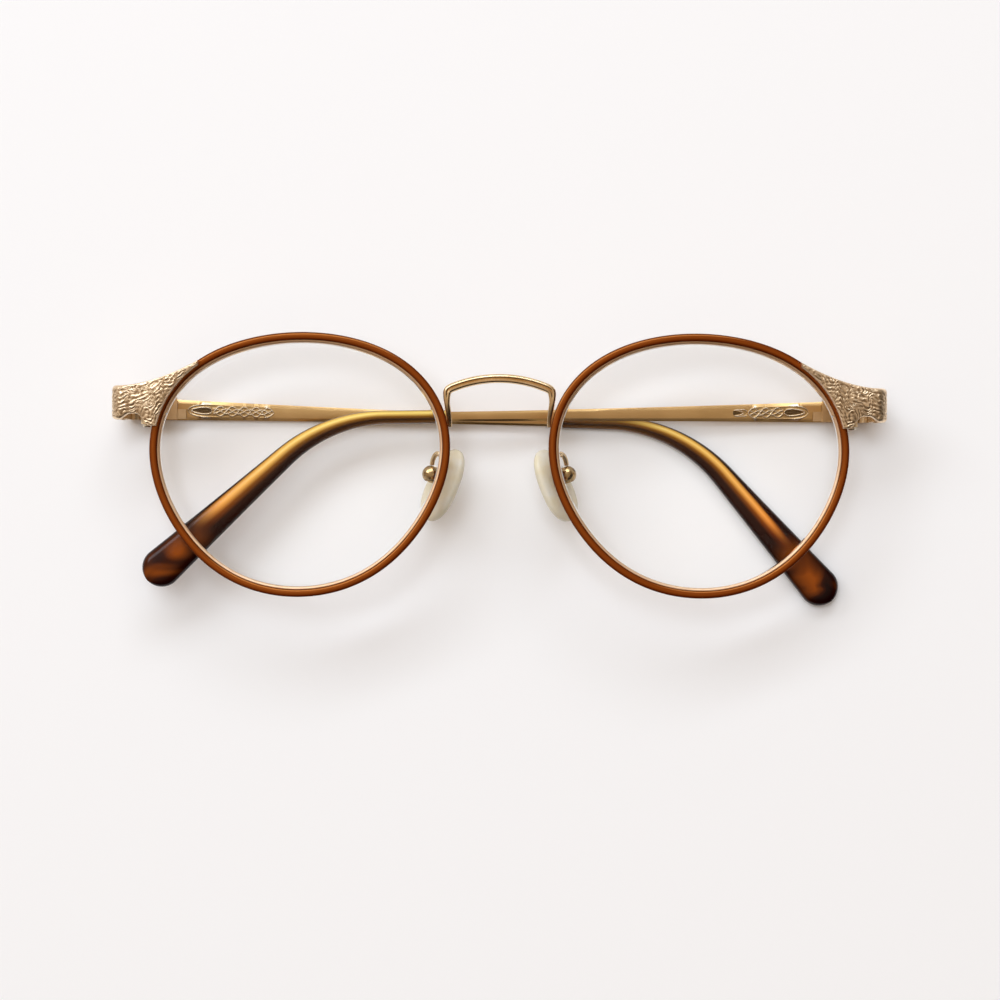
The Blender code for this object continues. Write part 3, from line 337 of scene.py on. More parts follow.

# %% [markdown]
# ## Acetate, pads and lenses
#
# The rim cover is polished reddish-brown acetate, with a painted glow along the middle of its round
# front, where light would come through, and painted shade at its edges. Its reflections are tinted,
# because light that has been inside brown acetate comes back orange. The temple sleeves are clear
# acetate with dark clouds round a bright metal core. It could be rendered as real depth, but a streak
# painted along the sleeve gives the same look and survives the export. It could be rendered as real
# depth, but a streak painted along the sleeve, a painted highlight above on the core and painted
# shade below, gives the same look. The pads are cloudy and let a little light through. The lenses
# would darken what lies under them if they cast glass shadows, so lamp and floor light pass straight
# through them.

# %% Acetate of the rims
# The edge colour is painted shade at the cover's edges, and the light colour a painted glow along its
# middle.
RIM_PAINTED_EDGE_SHADE = (0.040, 0.005, 0.001)
RIM_MIDDLE = (0.120, 0.016, 0.001)
RIM_PAINTED_GLOW = (0.185, 0.030, 0.001)
RIM_SHEEN = (1.0, 0.38, 0.09, 1.0)


def rim_acetate():
    """Brown by the attribute across, from 0 at the lens to 1 at the outside: painted glow in the middle,
    painted shade at the edges.
    """
    made, tree, shader = new_finish(
        "rim_acetate", Roughness=0.18, IOR=1.7, Specular_IOR_Level=1.0, Specular_Tint=RIM_SHEEN
    )
    # A painted glow along the middle of the cover, and painted shade at its edges.
    painted_glow_and_shade = ramp(
        tree, attribute(tree, "across"),
        (0.0, RIM_PAINTED_EDGE_SHADE), (0.22, RIM_MIDDLE), (0.50, RIM_PAINTED_GLOW), (0.78, RIM_MIDDLE), (1.0, RIM_PAINTED_EDGE_SHADE),
    )
    clouds = noise(tree, object_place(tree), 170.0, 3.0, 0.6)
    cloudy = in_range(tree, clouds, 0.0, 0.6, 0.4, 0.75)
    tree.links.new(blend_colours(tree, cloudy, painted_glow_and_shade, RIM_MIDDLE), shader.inputs["Base Color"])
    bump(tree, shader, noise(tree, object_place(tree), 900.0), 4e-6)
    return made


rim_brown = rim_acetate()
print("finish", rim_brown.name)

# %% Acetate of the sleeves
SLEEVE_DARK = (0.009, 0.001, 0.001)
SLEEVE_BROWN = (0.040, 0.006, 0.001)
SLEEVE_AMBER = (0.300, 0.062, 0.003)
# The core's colours paint light and shade: dark below, a thin glow near the lower edge, bright above.
CORE_SHADE = (0.018, 0.003, 0.001)
CORE_GLOW = (0.170, 0.066, 0.010)
CORE_BROWN = (0.240, 0.095, 0.007)
CORE_GOLD = (0.700, 0.440, 0.085)
CORE_PAINTED_HIGHLIGHT = (1.000, 0.790, 0.220)
CORE_DEEP = (0.880, 0.250, 0.030)


def sleeve_acetate():
    """Dark clouds with an amber tip. The core's colour goes by the attribute core, up its band: painted
    shade below, a painted highlight above.
    """
    made, tree, shader = new_finish("sleeve_acetate", Roughness=0.14, Specular_IOR_Level=0.2)
    clouds = noise(tree, object_place(tree, (1.0, 1.0, 0.4)), 105.0, 2.0, 0.8)
    body = ramp(tree, clouds, (0.38, SLEEVE_DARK), (0.46, SLEEVE_BROWN), (0.58, SLEEVE_AMBER))
    body = blend_colours(tree, attribute(tree, "edge"), body, SLEEVE_DARK)
    # From the lower edge up: painted shade with a thin painted glow, brown, gold to a painted highlight,
    # and shade at the top.
    core = ramp(
        tree, attribute(tree, "core"), (0.02, CORE_SHADE), (0.14, CORE_GLOW), (0.32, CORE_SHADE),
        (0.54, CORE_BROWN), (0.66, CORE_GOLD), (0.79, CORE_PAINTED_HIGHLIGHT), (0.92, CORE_GOLD), (1.0, CORE_SHADE),
    )
    core = blend_colours(tree, attribute(tree, "amber"), core, CORE_DEEP, "MULTIPLY")
    streaked = blend_colours(tree, attribute(tree, "streak"), body, core)
    tree.links.new(streaked, shader.inputs["Base Color"])
    return made


tortoise = sleeve_acetate()
print("finish", tortoise.name)

# %% Pads and lenses
IVORY_DEEP = (0.99, 0.89, 0.64)
IVORY_PALE = (1.00, 0.96, 0.84)
GLASS_TINT = (0.99, 0.995, 0.99, 1.0)


def cloudy_silicone():
    """Ivory in soft clouds that lets a part of the light through, under a thin clear coat."""
    made, tree, shader = new_finish(
        "cloudy_silicone", Roughness=0.24, IOR=1.41, Transmission_Weight=0.30, Coat_Weight=0.3
    )
    clouds = noise(tree, object_place(tree), 420.0)
    ivory = ramp(tree, clouds, (0.3, IVORY_DEEP), (0.7, IVORY_PALE))
    tree.links.new(ivory, shader.inputs["Base Color"])
    bump(tree, shader, noise(tree, object_place(tree), 2400.0), 8e-6)
    return made


def clear_glass():
    """Clear coated glass that hardly mirrors. Lamp and floor light pass straight through it."""
    made, tree, shader = new_finish(
        "clear_glass", Base_Color=GLASS_TINT, Roughness=0.0, IOR=1.18, Transmission_Weight=1.0
    )
    path = tree.nodes.new("ShaderNodeLightPath")
    open_shader = tree.nodes.new("ShaderNodeBsdfTransparent")
    glass = shader.outputs["BSDF"]
    for kind in ("Is Diffuse Ray", "Is Shadow Ray"):
        mix = tree.nodes.new("ShaderNodeMixShader")
        tree.links.new(path.outputs[kind], mix.inputs["Fac"])
        tree.links.new(glass, mix.inputs[1])
        tree.links.new(open_shader.outputs["BSDF"], mix.inputs[2])
        glass = mix.outputs["Shader"]
    tree.links.new(glass, tree.nodes["Material Output"].inputs["Surface"])
    return made


pad_ivory = cloudy_silicone()
lens_glass = clear_glass()
print("finishes", pad_ivory.name, lens_glass.name)

# %% [markdown]
# ## The lens outline
#
# The round lens isn't a circle: it is a little wider than high, fuller at its upper outer corner. It
# could be traced with dozens of points, but a radius that is a short sum of waves in the angle
# gives a smoother shape with five numbers. Angle 0 points to the nose and a quarter turn points up.
# The whole front lies on a large sphere, tipped a few degrees to the side, so the same formula
# gives the height of rims, lenses and locks.

# %% Outline of lens and rim
LENS_WIDTH = 0.0500
LENS_HEIGHT = 0.0437
NOSE_GAP = 0.0208
OUTLINE_WAVES = (0.000165, 0.00078, 0.00014)
LENS_BASE_RADIUS = 0.106
FACE_FORM = radians(3.0)
LENS_RISE = 0.0128
RIM_X = (LENS_WIDTH + NOSE_GAP) / 2
HINGE_X = 0.0662
HINGE_Y = 0.0095
hinge_place = next(joint["pos_m"] for joint in frame["joints"] if joint["name"] == "temple_right_fold")
FRONT_PLACE = np.array(hinge_place) - (HINGE_X, HINGE_Y, 0.0)


def outline(angle):
    """The edge radius and how fast it grows: mean + stretch cos 2a + three smaller waves."""
    mean = (LENS_WIDTH + LENS_HEIGHT) / 4
    stretch = (LENS_WIDTH - LENS_HEIGHT) / 4
    lean, corner, shoulder = OUTLINE_WAVES
    radius = mean + stretch * np.cos(2 * angle) + lean * np.sin(2 * angle)
    radius = radius + corner * np.sin(3 * angle) + shoulder * np.sin(5 * angle)
    slope = -2 * stretch * np.sin(2 * angle) + 2 * lean * np.cos(2 * angle)
    slope = slope + 3 * corner * np.cos(3 * angle) + 5 * shoulder * np.cos(5 * angle)
    return radius, slope


def surface_height(across, up):
    """Height of the lens's middle surface: a sphere's fall from its top, less the sideways tip."""
    fall = LENS_BASE_RADIUS - np.sqrt(LENS_BASE_RADIUS**2 - across**2 - up**2)
    return LENS_RISE - fall - tan(FACE_FORM) * across


def rim_point(angle, out, depth):
    """A point out from the lens edge, square to it, and depth in front of the middle surface."""
    angle, out, depth = np.broadcast_arrays(*np.atleast_1d(angle, out, depth))
    radius, slope = outline(angle)
    across, up = -radius * np.cos(angle), radius * np.sin(angle)
    along_x = radius * np.sin(angle) - slope * np.cos(angle)
    along_y = radius * np.cos(angle) + slope * np.sin(angle)
    length = np.hypot(along_x, along_y)
    x = RIM_X + across - out * along_y / length
    y = up + out * along_x / length
    return np.stack([x, y, surface_height(across, up) + depth], axis=-1)


def rim_angle_at(height, out):
    """The angle on the outer side where the rim, this far out, is at this height."""
    angles = np.linspace(pi / 2 + 0.3, pi + 0.2, 400)
    return float(np.interp(-height, -rim_point(angles, out, 0.0)[:, 1], angles))


def to_world(points, side):
    """From the front's own place on side 1 to the world, on either side."""
    return points * (side, 1.0, 1.0) + FRONT_PLACE


print("front stands at", FRONT_PLACE)

# %% [markdown]
# ## Rim covers
#
# The cover is a thin acetate channel clipped round the wire, with a low dome for its front. It
# could be a bevelled curve, but a profile swept by hand may change on its way: a closed outline of
# (out, depth) points stands at every angle. Two short places are cut away behind, where the
# bridge's foot and the rim lock reach the wire. A second profile, with the wall and the back lip
# drawn up into the front, is blended in there. Each point also keeps how far across the front it
# lies, which the finish turns into a painted glow in the middle and painted shade at the edges.

# %% Rim cover
EYEWIRE_OUT = 0.00095
EYEWIRE_LIP = 0.00030
EYEWIRE_DEPTH = 0.0020
EYEWIRE_SPLIT = 0.0003
COVER_WIDTH = 0.00154
COVER_START = 0.00015
COVER_FRONT = 0.0005
COVER_BACK = 0.0004
COVER_BACK_LIP = 0.00100
COVER_CROWN = 0.00006
COVER_TILT = radians(42.0)
COVER_EDGE = 0.00014
COVER_BACK_ROUND = 0.00028
SEAM = 0.00020
FIT = 0.00010
LOCK_Y = 0.0087
LOCK_ROOM = 0.0028
FOOT_ANGLE = radians(13.5)
FOOT_ROOM = 0.0014
NOTCH_SLOPE = 0.00012
MEAN_RIM_RADIUS = 0.0235


def corner(centre, radius, start, stop, count):
    """Points round a corner, from one angle to another."""
    turn = np.radians(np.linspace(start, stop, count))
    return np.stack([centre[0] + radius * np.cos(turn), centre[1] + radius * np.sin(turn)], axis=1)


def cover_profiles():
    """The section, whole and cut: an arc between -tilt and tilt, small edges, a wall and a lip."""
    inside, front = EYEWIRE_OUT + FIT, EYEWIRE_DEPTH / 2 + FIT
    back, lip = -front - COVER_BACK, COVER_WIDTH - COVER_BACK_LIP
    low = COVER_BACK_ROUND
    middle, half = (COVER_START + COVER_WIDTH) / 2, (COVER_WIDTH - COVER_START) / 2
    tilt = np.radians(np.linspace(-90.0, 90.0, 37))
    dome = np.clip(tilt, -COVER_TILT, COVER_TILT)
    radius = half / sin(COVER_TILT) - COVER_EDGE * (1 / sin(COVER_TILT) - 1)
    out = middle + radius * np.sin(dome) + COVER_EDGE * (np.sin(tilt) - np.sin(dome))
    fall = radius * (1 - np.cos(dome)) + COVER_EDGE * (np.cos(dome) - np.cos(tilt))
    whole = np.vstack([
        [(COVER_START, front)],
        np.stack([out, front + COVER_FRONT + COVER_CROWN - fall], axis=1),
        corner((COVER_WIDTH - low, back + low), low, 0, -90, 6),
        [(lip, back), (lip, -front), (inside, -front), (inside, front)],
    ])
    cut = whole.copy()
    behind = whole[:, 1] < front
    cut[behind, 0] = np.maximum(cut[behind, 0], inside)
    cut[behind, 1] = front
    return whole, cut


def cover_notches(angles):
    """1 where the wall is cut away, at the lock and at the bridge's foot, and 0 elsewhere."""
    edge = NOTCH_SLOPE / MEAN_RIM_RADIUS
    high, low = (rim_angle_at(LOCK_Y + sign * LOCK_ROOM, 0.0) for sign in (1, -1))
    radius = outline(FOOT_ANGLE)[0]
    start, stop = FOOT_ANGLE - FOOT_ROOM / radius, FOOT_ANGLE + 3 * FOOT_ROOM / radius
    lock = smooth_step((angles - high) / edge) * smooth_step((low - angles) / edge)
    foot = smooth_step((angles - start) / edge) * smooth_step((stop - angles) / edge)
    return np.maximum(lock, foot)


def make_rim_cover(name, side):
    """Sweeps the blended profile round the lens outline."""
    steps = np.linspace(0.0, 2 * pi, 540, endpoint=False)
    whole, cut = cover_profiles()
    notch = cover_notches(steps)[:, None, None]
    profile = whole[None] * (1 - notch) + cut[None] * notch
    grid = to_world(rim_point(steps[:, None], profile[:, :, 0], profile[:, :, 1]), side)
    across = (whole[:, 0] - COVER_START) / (COVER_WIDTH - COVER_START)
    across = np.broadcast_to(across, grid.shape[:2])
    piece = make_piece(f"rim_{name}", grid, rim_brown, closed=True, across=across)
    return place_piece(piece, "front", f"rim_cover_{name}")


for name, side in SIDES.items():
    make_rim_cover(name, side)

# %% [markdown]
# ## Eyewires and lenses
#
# Under the cover runs the metal eyewire: a channel whose groove holds the lens's pointed edge. It
# is cut through at the rim lock, so its sweep is open and its two ends are closed. The lens is a
# shallow dish with a pointed edge. It could be cut out of two spheres, but then it would have to
# fit the wire by luck. Rings of the same outline that shrink to the middle of the front face and
# of the back face fit it exactly.

# %% Eyewires and lenses
LENS_THICKNESS = 0.0019
LENS_BEVEL = 0.0005
LENS_BEVEL_HALF = 0.00045
LENS_FACE_END = 0.96
WIRE_EDGE = 0.00016
WIRE_LIP = 0.00042


def make_eyewire(name, side):
    """Sweeps a section of four round corners and a groove from one side of the cut to the other."""
    half = EYEWIRE_DEPTH / 2
    groove = (EYEWIRE_LIP + FIT) * LENS_BEVEL_HALF / LENS_BEVEL + FIT
    profile = np.vstack([
        corner((EYEWIRE_OUT - WIRE_EDGE, -half + WIRE_EDGE), WIRE_EDGE, -90, 0, 5),
        corner((EYEWIRE_OUT - WIRE_EDGE, half - WIRE_EDGE), WIRE_EDGE, 0, 90, 5),
        corner((WIRE_LIP - EYEWIRE_LIP, half - WIRE_LIP), WIRE_LIP, 90, 180, 9),
        [(-EYEWIRE_LIP, groove), (FIT, 0.0), (-EYEWIRE_LIP, -groove)],
        corner((WIRE_LIP - EYEWIRE_LIP, -half + WIRE_LIP), WIRE_LIP, 180, 270, 9),
    ])
    cut = rim_angle_at(LOCK_Y, EYEWIRE_OUT)
    half_split = EYEWIRE_SPLIT / 2 / outline(cut)[0]
    steps = np.linspace(cut + half_split, cut + 2 * pi - half_split, 481)
    rings = rim_point(steps[:, None], profile[None, :, 0], profile[None, :, 1])
    piece = make_piece(f"wire_{name}", to_world(with_ends(rings), side), lip_gold_painted_light)
    return place_piece(piece, "front", f"eyewire_{name}")


def lens_ring(angles, share, depth):
    """The outline shrunk towards the middle, on the curved surface."""
    radius = outline(angles)[0] * share
    across, up = -radius * np.cos(angles), radius * np.sin(angles)
    return np.stack([RIM_X + across, up, surface_height(across, up) + depth], axis=-1)


def make_lens(name, side):
    """Front face from its middle out, the pointed edge, and the back face to its middle."""
    angles = np.linspace(0.0, 2 * pi, 240, endpoint=False)
    half = LENS_THICKNESS / 2
    shares = np.linspace(0.0, LENS_FACE_END, 14)
    edge = [(-LENS_BEVEL, half), (-LENS_BEVEL, LENS_BEVEL_HALF), (0.0, 0.0)]
    edge += [(out, -depth) for out, depth in edge[1::-1]]
    rings = [lens_ring(angles, share, half) for share in shares]
    rings += [rim_point(angles, out, depth) for out, depth in edge]
    rings += [lens_ring(angles, share, -half) for share in shares[::-1]]
    piece = make_piece(f"glass_{name}", to_world(np.array(rings), side), lens_glass, sharp=25.0)
    return place_piece(piece, "front", f"lens_{name}")


for name, side in SIDES.items():
    make_eyewire(name, side)
    make_lens(name, side)

# %% [markdown]
# ## Bridge
#
# The bridge is one bar: a shallow arc, a tight corner and a leg on each side. A groove runs along
# the middle of its front and makes the two bright lines of the photograph. A curve with a bevel
# would be quicker, but the groove fades and the bar gets slimmer down the legs, so a rounded
# section is carried along the centre line and changes on its way.

# %% Bridge
BRIDGE_INSET = 0.0011
BRIDGE_TOP = 0.01468
BRIDGE_RISE = 0.00140
BRIDGE_LEG_TOP = 0.0112
BRIDGE_HEIGHT = 0.00160
BRIDGE_DEPTH = 0.00130
BRIDGE_LEG_WIDTH = 0.00100
BRIDGE_GROOVE = 0.00030
BRIDGE_GROOVE_SHARE = 0.22
BRIDGE_SQUARENESS = 0.85
BRIDGE_THINNING = 1.6
BRIDGE_CORNER_PULL = 0.85
BRIDGE_FORWARD = 0.00120


def bridge_line():
    """The centre line from foot to foot: an arc, a smooth corner and a leg, and their mirror image."""
    out = EYEWIRE_OUT + SEAM + BRIDGE_LEG_WIDTH / 2
    foot = Vector(rim_point(FOOT_ANGLE, out, -BRIDGE_LEG_WIDTH / 2)[0])
    height = float(surface_height(LENS_WIDTH / -2, 0.0)) + BRIDGE_FORWARD
    half = NOSE_GAP / 2 - BRIDGE_INSET
    crown_x = np.linspace(0.0, half - BRIDGE_HEIGHT, 33)
    radius = (crown_x[-1] ** 2 + BRIDGE_RISE**2) / (2 * BRIDGE_RISE)
    crown_y = BRIDGE_TOP - radius + np.sqrt(radius**2 - crown_x**2)
    crown = [Vector((x, y, height)) for x, y in zip(crown_x, crown_y)]
    slope = (crown[-1] - crown[-2]).normalized() * BRIDGE_HEIGHT
    down = Vector((0.0, -BRIDGE_HEIGHT, 0.0))
    leg_top = Vector((half, BRIDGE_LEG_TOP, height))
    leg_pull = leg_top - down * BRIDGE_CORNER_PULL
    turn = interpolate_bezier(crown[-1], crown[-1] + slope, leg_pull, leg_top, 26)
    inward = Vector((-BRIDGE_LEG_WIDTH / 4, 0.0, BRIDGE_LEG_WIDTH / 2))
    leg = interpolate_bezier(leg_top, leg_top + down, foot - down + inward, foot, 30)
    right = np.array([point[:] for point in crown + turn[1:] + leg[1:]])
    return np.vstack([right[:0:-1] * (-1, 1, 1), right])


def path_axes(line):
    """For each point of a path: across it, and out of the front, both square to its direction."""
    along = np.gradient(line, axis=0)
    along /= np.linalg.norm(along, axis=1, keepdims=True)
    front = np.array([0.0, 0.0, 1.0]) - along * along[:, 2:3]
    front /= np.linalg.norm(front, axis=1, keepdims=True)
    return np.cross(front, along), front


def make_bridge():
    """Carries a rounded section with a dip in its front along the bridge's line."""
    line = bridge_line()
    leg = BRIDGE_TOP - BRIDGE_RISE
    thin = smooth_step((leg - line[:, 1]) / (leg - BRIDGE_LEG_TOP) / BRIDGE_THINNING)[:, None]
    height = BRIDGE_HEIGHT + (BRIDGE_LEG_WIDTH - BRIDGE_HEIGHT) * thin
    depth = BRIDGE_DEPTH + (BRIDGE_LEG_WIDTH - BRIDGE_DEPTH) * thin
    turn = np.linspace(0.0, 2 * pi, 40, endpoint=False)[None]
    wide, deep = squared(np.cos(turn), BRIDGE_SQUARENESS), squared(np.sin(turn), BRIDGE_SQUARENESS)
    dip = BRIDGE_GROOVE * (1 - thin) * np.exp(-((wide / BRIDGE_GROOVE_SHARE) ** 2)) * (deep > 0)
    across, front = path_axes(line)
    rings = line[:, None] + across[:, None] * (wide * height / 2)[:, :, None]
    rings = rings + front[:, None] * (deep * depth / 2 - dip)[:, :, None]
    piece = make_piece("bridge_bar", with_ends(rings) + FRONT_PLACE, wire_gold)
    return place_piece(piece, "front", "bridge")


make_bridge()

# %% [markdown]
# ## Cast relief
#
# The corners carry leafy relief: worm-like strokes of about one width that flow from the corner to
# the tip. Carving them stroke by stroke would take hundreds of curves. Two fields make them
# instead. Even cosine stripes give strokes of one width. A sum of cosine waves of nearly one
# length, in seeded directions, has hills that join into winding ridges, and pushing the stripes
# sideways by such ridges, one field large and one small, bends them into leaves and curls.

# %% Relief field


def winding_ridges(u, v, length, flow, spread, seed, waves=34):
    """tanh(2 s): s sums cos(k . (u, v) + phase) over its usual size, with k across the flow."""
    random = np.random.default_rng(seed)
    heading = flow + pi / 2 + random.uniform(-spread, spread, waves)
    size = 2 * pi / (length * random.uniform(0.8, 1.3, waves))
    phase = random.uniform(0, 2 * pi, waves)
    total = np.zeros(np.broadcast(u, v).shape)
    for angle, number, start in zip(heading, size, phase):
        total += np.cos(number * (np.cos(angle) * u + np.sin(angle) * v) + start)
    return np.tanh(2.0 * total / np.sqrt(waves / 2))


sample = winding_ridges(np.linspace(0.0, 9.0, 90)[:, None], np.linspace(0.0, 9.0, 90), 1.0, 0.0, 1.0, 1)
print("ridges run from", round(sample.min(), 2), "to", round(sample.max(), 2))

# %% [markdown]
# ## Endpieces
#
# The wing is laid over the rim's upper corner, turns round the front's corner and runs back to the
# hinge. It could be a flat shape that is bent afterwards, but its edges would stretch in the bend.
# Here stations follow the rim's edge and then the outer skin, each with its low and high edge. A
# section goes up the outer face, over the rounded edge and down the inner face. The relief moves
# the outer face along its normal, and fades towards the flank, where the real casting is smooth.

# %% Endpiece outline
FRONT_WIDTH = 0.1375
WING_TOP_ANGLE = radians(137.0)
WING_LOW_ANGLE = radians(166.5)
WING_LAP = 0.00080
WING_THICKNESS = 0.00130
WING_TIP = 0.00075
WING_CORNER_TOP = 0.0133
WING_CORNER_LOW = 0.00725
WING_CORNER_RADIUS = 0.0020
WING_CORNER_RUN = 0.0032
WING_TOP_CURVE = 1.7
WING_HORN_WIDTH = 0.0009
WING_ARCH_TOP = 0.0083
WING_ARCH_RUN = 0.0026
WING_CROWN = 0.00025
FLANK_END = 0.0011
BAR_HEIGHT = 0.00405


def wing_back(x):
    """Height of the wing's back, on a line through its two horns, just above the rim cover."""
    front = EYEWIRE_DEPTH / 2 + FIT + COVER_FRONT + SEAM
    top = rim_point(WING_TOP_ANGLE, WING_LAP, front)[0]
    low = rim_point(WING_LOW_ANGLE, WING_LAP, front)[0]
    return top[2] + (low[2] - top[2]) * (x - top[0]) / (low[0] - top[0])


def wing_low_edge(x):
    """Lower edge from the horn: up in an arch, then down again at the corner."""
    horn = rim_point(WING_LOW_ANGLE, WING_LAP, 0.0)[0]
    arch = smooth_step((x - horn[0] - WING_HORN_WIDTH) / WING_ARCH_RUN)
    low = smooth_step((x - FRONT_WIDTH / 2 + WING_CORNER_RUN) / WING_CORNER_RADIUS)
    return horn[1] + (WING_ARCH_TOP - horn[1]) * arch - (WING_ARCH_TOP - WING_CORNER_LOW) * low


def wing_stations():
    """Outer skin as (x, z) points with normals, and the low and high edge at each."""
    slope = float(np.arctan(wing_back(0.0) - wing_back(1.0)))
    edge = rim_point(np.linspace(WING_TOP_ANGLE, WING_LOW_ANGLE, 120), WING_LAP, 0.0)
    centre_x = FRONT_WIDTH / 2 - WING_CORNER_RADIUS
    corner_x = centre_x + WING_CORNER_RADIUS * sin(slope)
    face_x = np.linspace(edge[-1, 0], corner_x, 76)[1:]
    x = np.concatenate([edge[:, 0], face_x])
    z = wing_back(x) + WING_THICKNESS / cos(slope)
    low = np.concatenate([edge[:, 1], wing_low_edge(face_x)])
    centre_z = z[-1] - WING_CORNER_RADIUS * cos(slope)
    turn = np.linspace(slope, pi / 2, 26)[1:]
    turn_normals = np.stack([np.sin(turn), np.cos(turn)], axis=1)
    turn_points = np.array([centre_x, centre_z]) + WING_CORNER_RADIUS * turn_normals
    flank_z = np.linspace(centre_z, FLANK_END, 46)[1:]
    flank = np.stack([np.full(len(flank_z), FRONT_WIDTH / 2), flank_z], axis=1)
    points = np.vstack([np.stack([x, z], axis=1), turn_points, flank])
    face_normals = np.tile([sin(slope), cos(slope)], (len(x), 1))
    normals = np.vstack([face_normals, turn_normals, np.tile([1.0, 0.0], (len(flank), 1))])
    rise = np.clip((corner_x - points[:, 0]) / (corner_x - edge[0, 0]), 0.0, 1.0)
    tip = edge[0, 1] + WING_TIP
    high = WING_CORNER_TOP + (tip - WING_CORNER_TOP) * rise**WING_TOP_CURVE
    low = np.concatenate([low, wing_low_edge(turn_points[:, 0]), np.full(len(flank), WING_CORNER_LOW)])
    taper = smooth_step((centre_z - points[:, 1]) / (centre_z - FLANK_END))
    hinge_half = BAR_HEIGHT / 2 + FIT
    high = high + (HINGE_Y + hinge_half - high) * taper
    low = low + (HINGE_Y - hinge_half - low) * taper
    return points, normals, low, high


print("wing stations", len(wing_stations()[0]))

# %% Relief of the endpieces
RELIEF_DEPTH = 0.00014
STROKE_SPACING = 0.00070
STROKE_LEAN = 0.55
STROKE_SHARPNESS = 1.8
STROKE_WARP = 0.00135
STROKE_CURL = 0.00026
LEAF_LENGTH = 0.0044
LEAF_FLOW = (-0.55, 1.4)
CURL_FLOW = (0.3, 1.5)
FINE_FLOW = (-0.45, 0.9)
HEIGHT_BETWEEN = 0.16
HEIGHT_STROKES = 0.56
HEIGHT_CURLS = 0.16
HEIGHT_FINE = 0.14
RELIEF_BORDER = 0.00035
FLANK_PLAIN = 0.0012
FLANK_FADE = 0.0045


def wing_relief(points, heights, low, high):
    """Stripes cos(2 pi across / spacing), bent by ridges, plain at the border and down the flank."""
    steps = np.hypot(*np.diff(points, axis=0).T)
    run = np.concatenate([[0.0], np.cumsum(steps)])[:, None]
    leaves = winding_ridges(run, heights, LEAF_LENGTH, *LEAF_FLOW, seed=11)
    curls = winding_ridges(run, heights, LEAF_LENGTH / 2, *CURL_FLOW, seed=31)
    across = heights * cos(STROKE_LEAN) + run * sin(STROKE_LEAN)
    across = across + STROKE_WARP * leaves + STROKE_CURL * curls
    strokes = (0.5 + 0.5 * np.cos(2 * pi * across / STROKE_SPACING)) ** STROKE_SHARPNESS
    fine = winding_ridges(run, heights, STROKE_SPACING, *FINE_FLOW, seed=23)
    height = HEIGHT_BETWEEN + (HEIGHT_STROKES + HEIGHT_CURLS * curls) * strokes + HEIGHT_FINE * fine
    margin = np.minimum(heights - low[:, None], high[:, None] - heights)
    depth = smooth_step((points[:, 1] - FLANK_END - FLANK_PLAIN) / FLANK_FADE)[:, None]
    inside = smooth_step(margin / RELIEF_BORDER) * depth
    return np.clip(height, 0.0, 1.0) * inside, inside


print("strokes stand", round(1000 * STROKE_SPACING, 2), "mm apart")

# %% Endpieces
WING_EDGE = 0.00022
WING_ROUND = 0.00065
WING_ROUND_START = 0.0045
WING_ROUND_RUN = 0.0040
RELIEF_SUNK = 0.45
PLAIN_CAST = 0.75


def make_endpiece(name, side):
    """Sections up the outer face, crowned by sin(pi share), and down the inner face."""
    points, normals, low, high = wing_stations()
    size = high - low
    cornered = smooth_step((points[:, 0] - FRONT_WIDTH / 2 + WING_ROUND_START) / WING_ROUND_RUN)
    bevel = np.minimum(WING_EDGE + (WING_ROUND - WING_EDGE) * cornered, size / 4)
    share = np.linspace(0.0, 1.0, 110)
    face = low[:, None] + bevel[:, None] + share * (size - 2 * bevel)[:, None]
    relief, inside = wing_relief(points, face, low, high)
    crown = WING_CROWN * np.clip(size / (WING_CORNER_TOP - WING_CORNER_LOW), 0.0, 1.0)
    crown = crown * smooth_step((points[:, 1] - FLANK_END) / WING_CORNER_RADIUS)
    crown = crown * smooth_step((FRONT_WIDTH / 2 - points[:, 0]) / WING_CORNER_RADIUS)
    out = crown[:, None] * np.sin(pi * share) + RELIEF_DEPTH * (relief - RELIEF_SUNK * inside)
    turn = np.radians([30.0, 60.0, 90.0])
    round_in = -bevel[:, None] * (1 - np.cos(turn))
    round_up = bevel[:, None] * np.sin(turn)
    back = np.full((len(points), 1), -WING_THICKNESS)
    outs = np.hstack([round_in[:, ::-1], out, round_in, back, back])
    edge_low, edge_high = (low + bevel)[:, None], (high - bevel)[:, None]
    heights = np.hstack(
        [edge_low - round_up[:, ::-1], face, edge_high + round_up, high[:, None], low[:, None]]
    )
    grid = np.zeros((*outs.shape, 3))
    grid[:, :, 0] = points[:, :1] + normals[:, :1] * outs
    grid[:, :, 1] = heights
    grid[:, :, 2] = points[:, 1:] + normals[:, 1:] * outs
    plain = np.full((len(points), 3), PLAIN_CAST)
    # The relief number also paints shade into the grooves and a highlight onto the crests.
    painted_relief_shade = np.where(inside > 0, relief + PLAIN_CAST * (1 - inside), PLAIN_CAST)
    number = np.hstack([plain, painted_relief_shade, plain, plain[:, :2]])
    number = np.vstack([number[:1], number, number[-1:]])
    grid = to_world(with_ends(grid), side)
    piece = make_piece(f"cast_wing_{name}", grid, cast_gold, sharp=50.0, relief=number)
    return place_piece(piece, "front", f"endpiece_{name}")


for name, side in SIDES.items():
    make_endpiece(name, side)

# %% [markdown]
# ## Temples
#
# A temple is one long line seen from its hinge: straight and tapering, then the bend behind the
# ear. Heading against distance is a simple sum, and adding up small steps of it gives the line.
# Worn glasses are never quite even, so each side has its own drop and bend. Everything on the
# temple is a section carried along it: the flat bar with its relief panel, the thin core wire,
# and the acetate sleeve. The bar could be a plain box, but its corners are cut at a slant, because
# these narrow bevels mirror the bright window above and the dim room below, and draw the two
# lines of light and shade that make a flat bar look like metal.

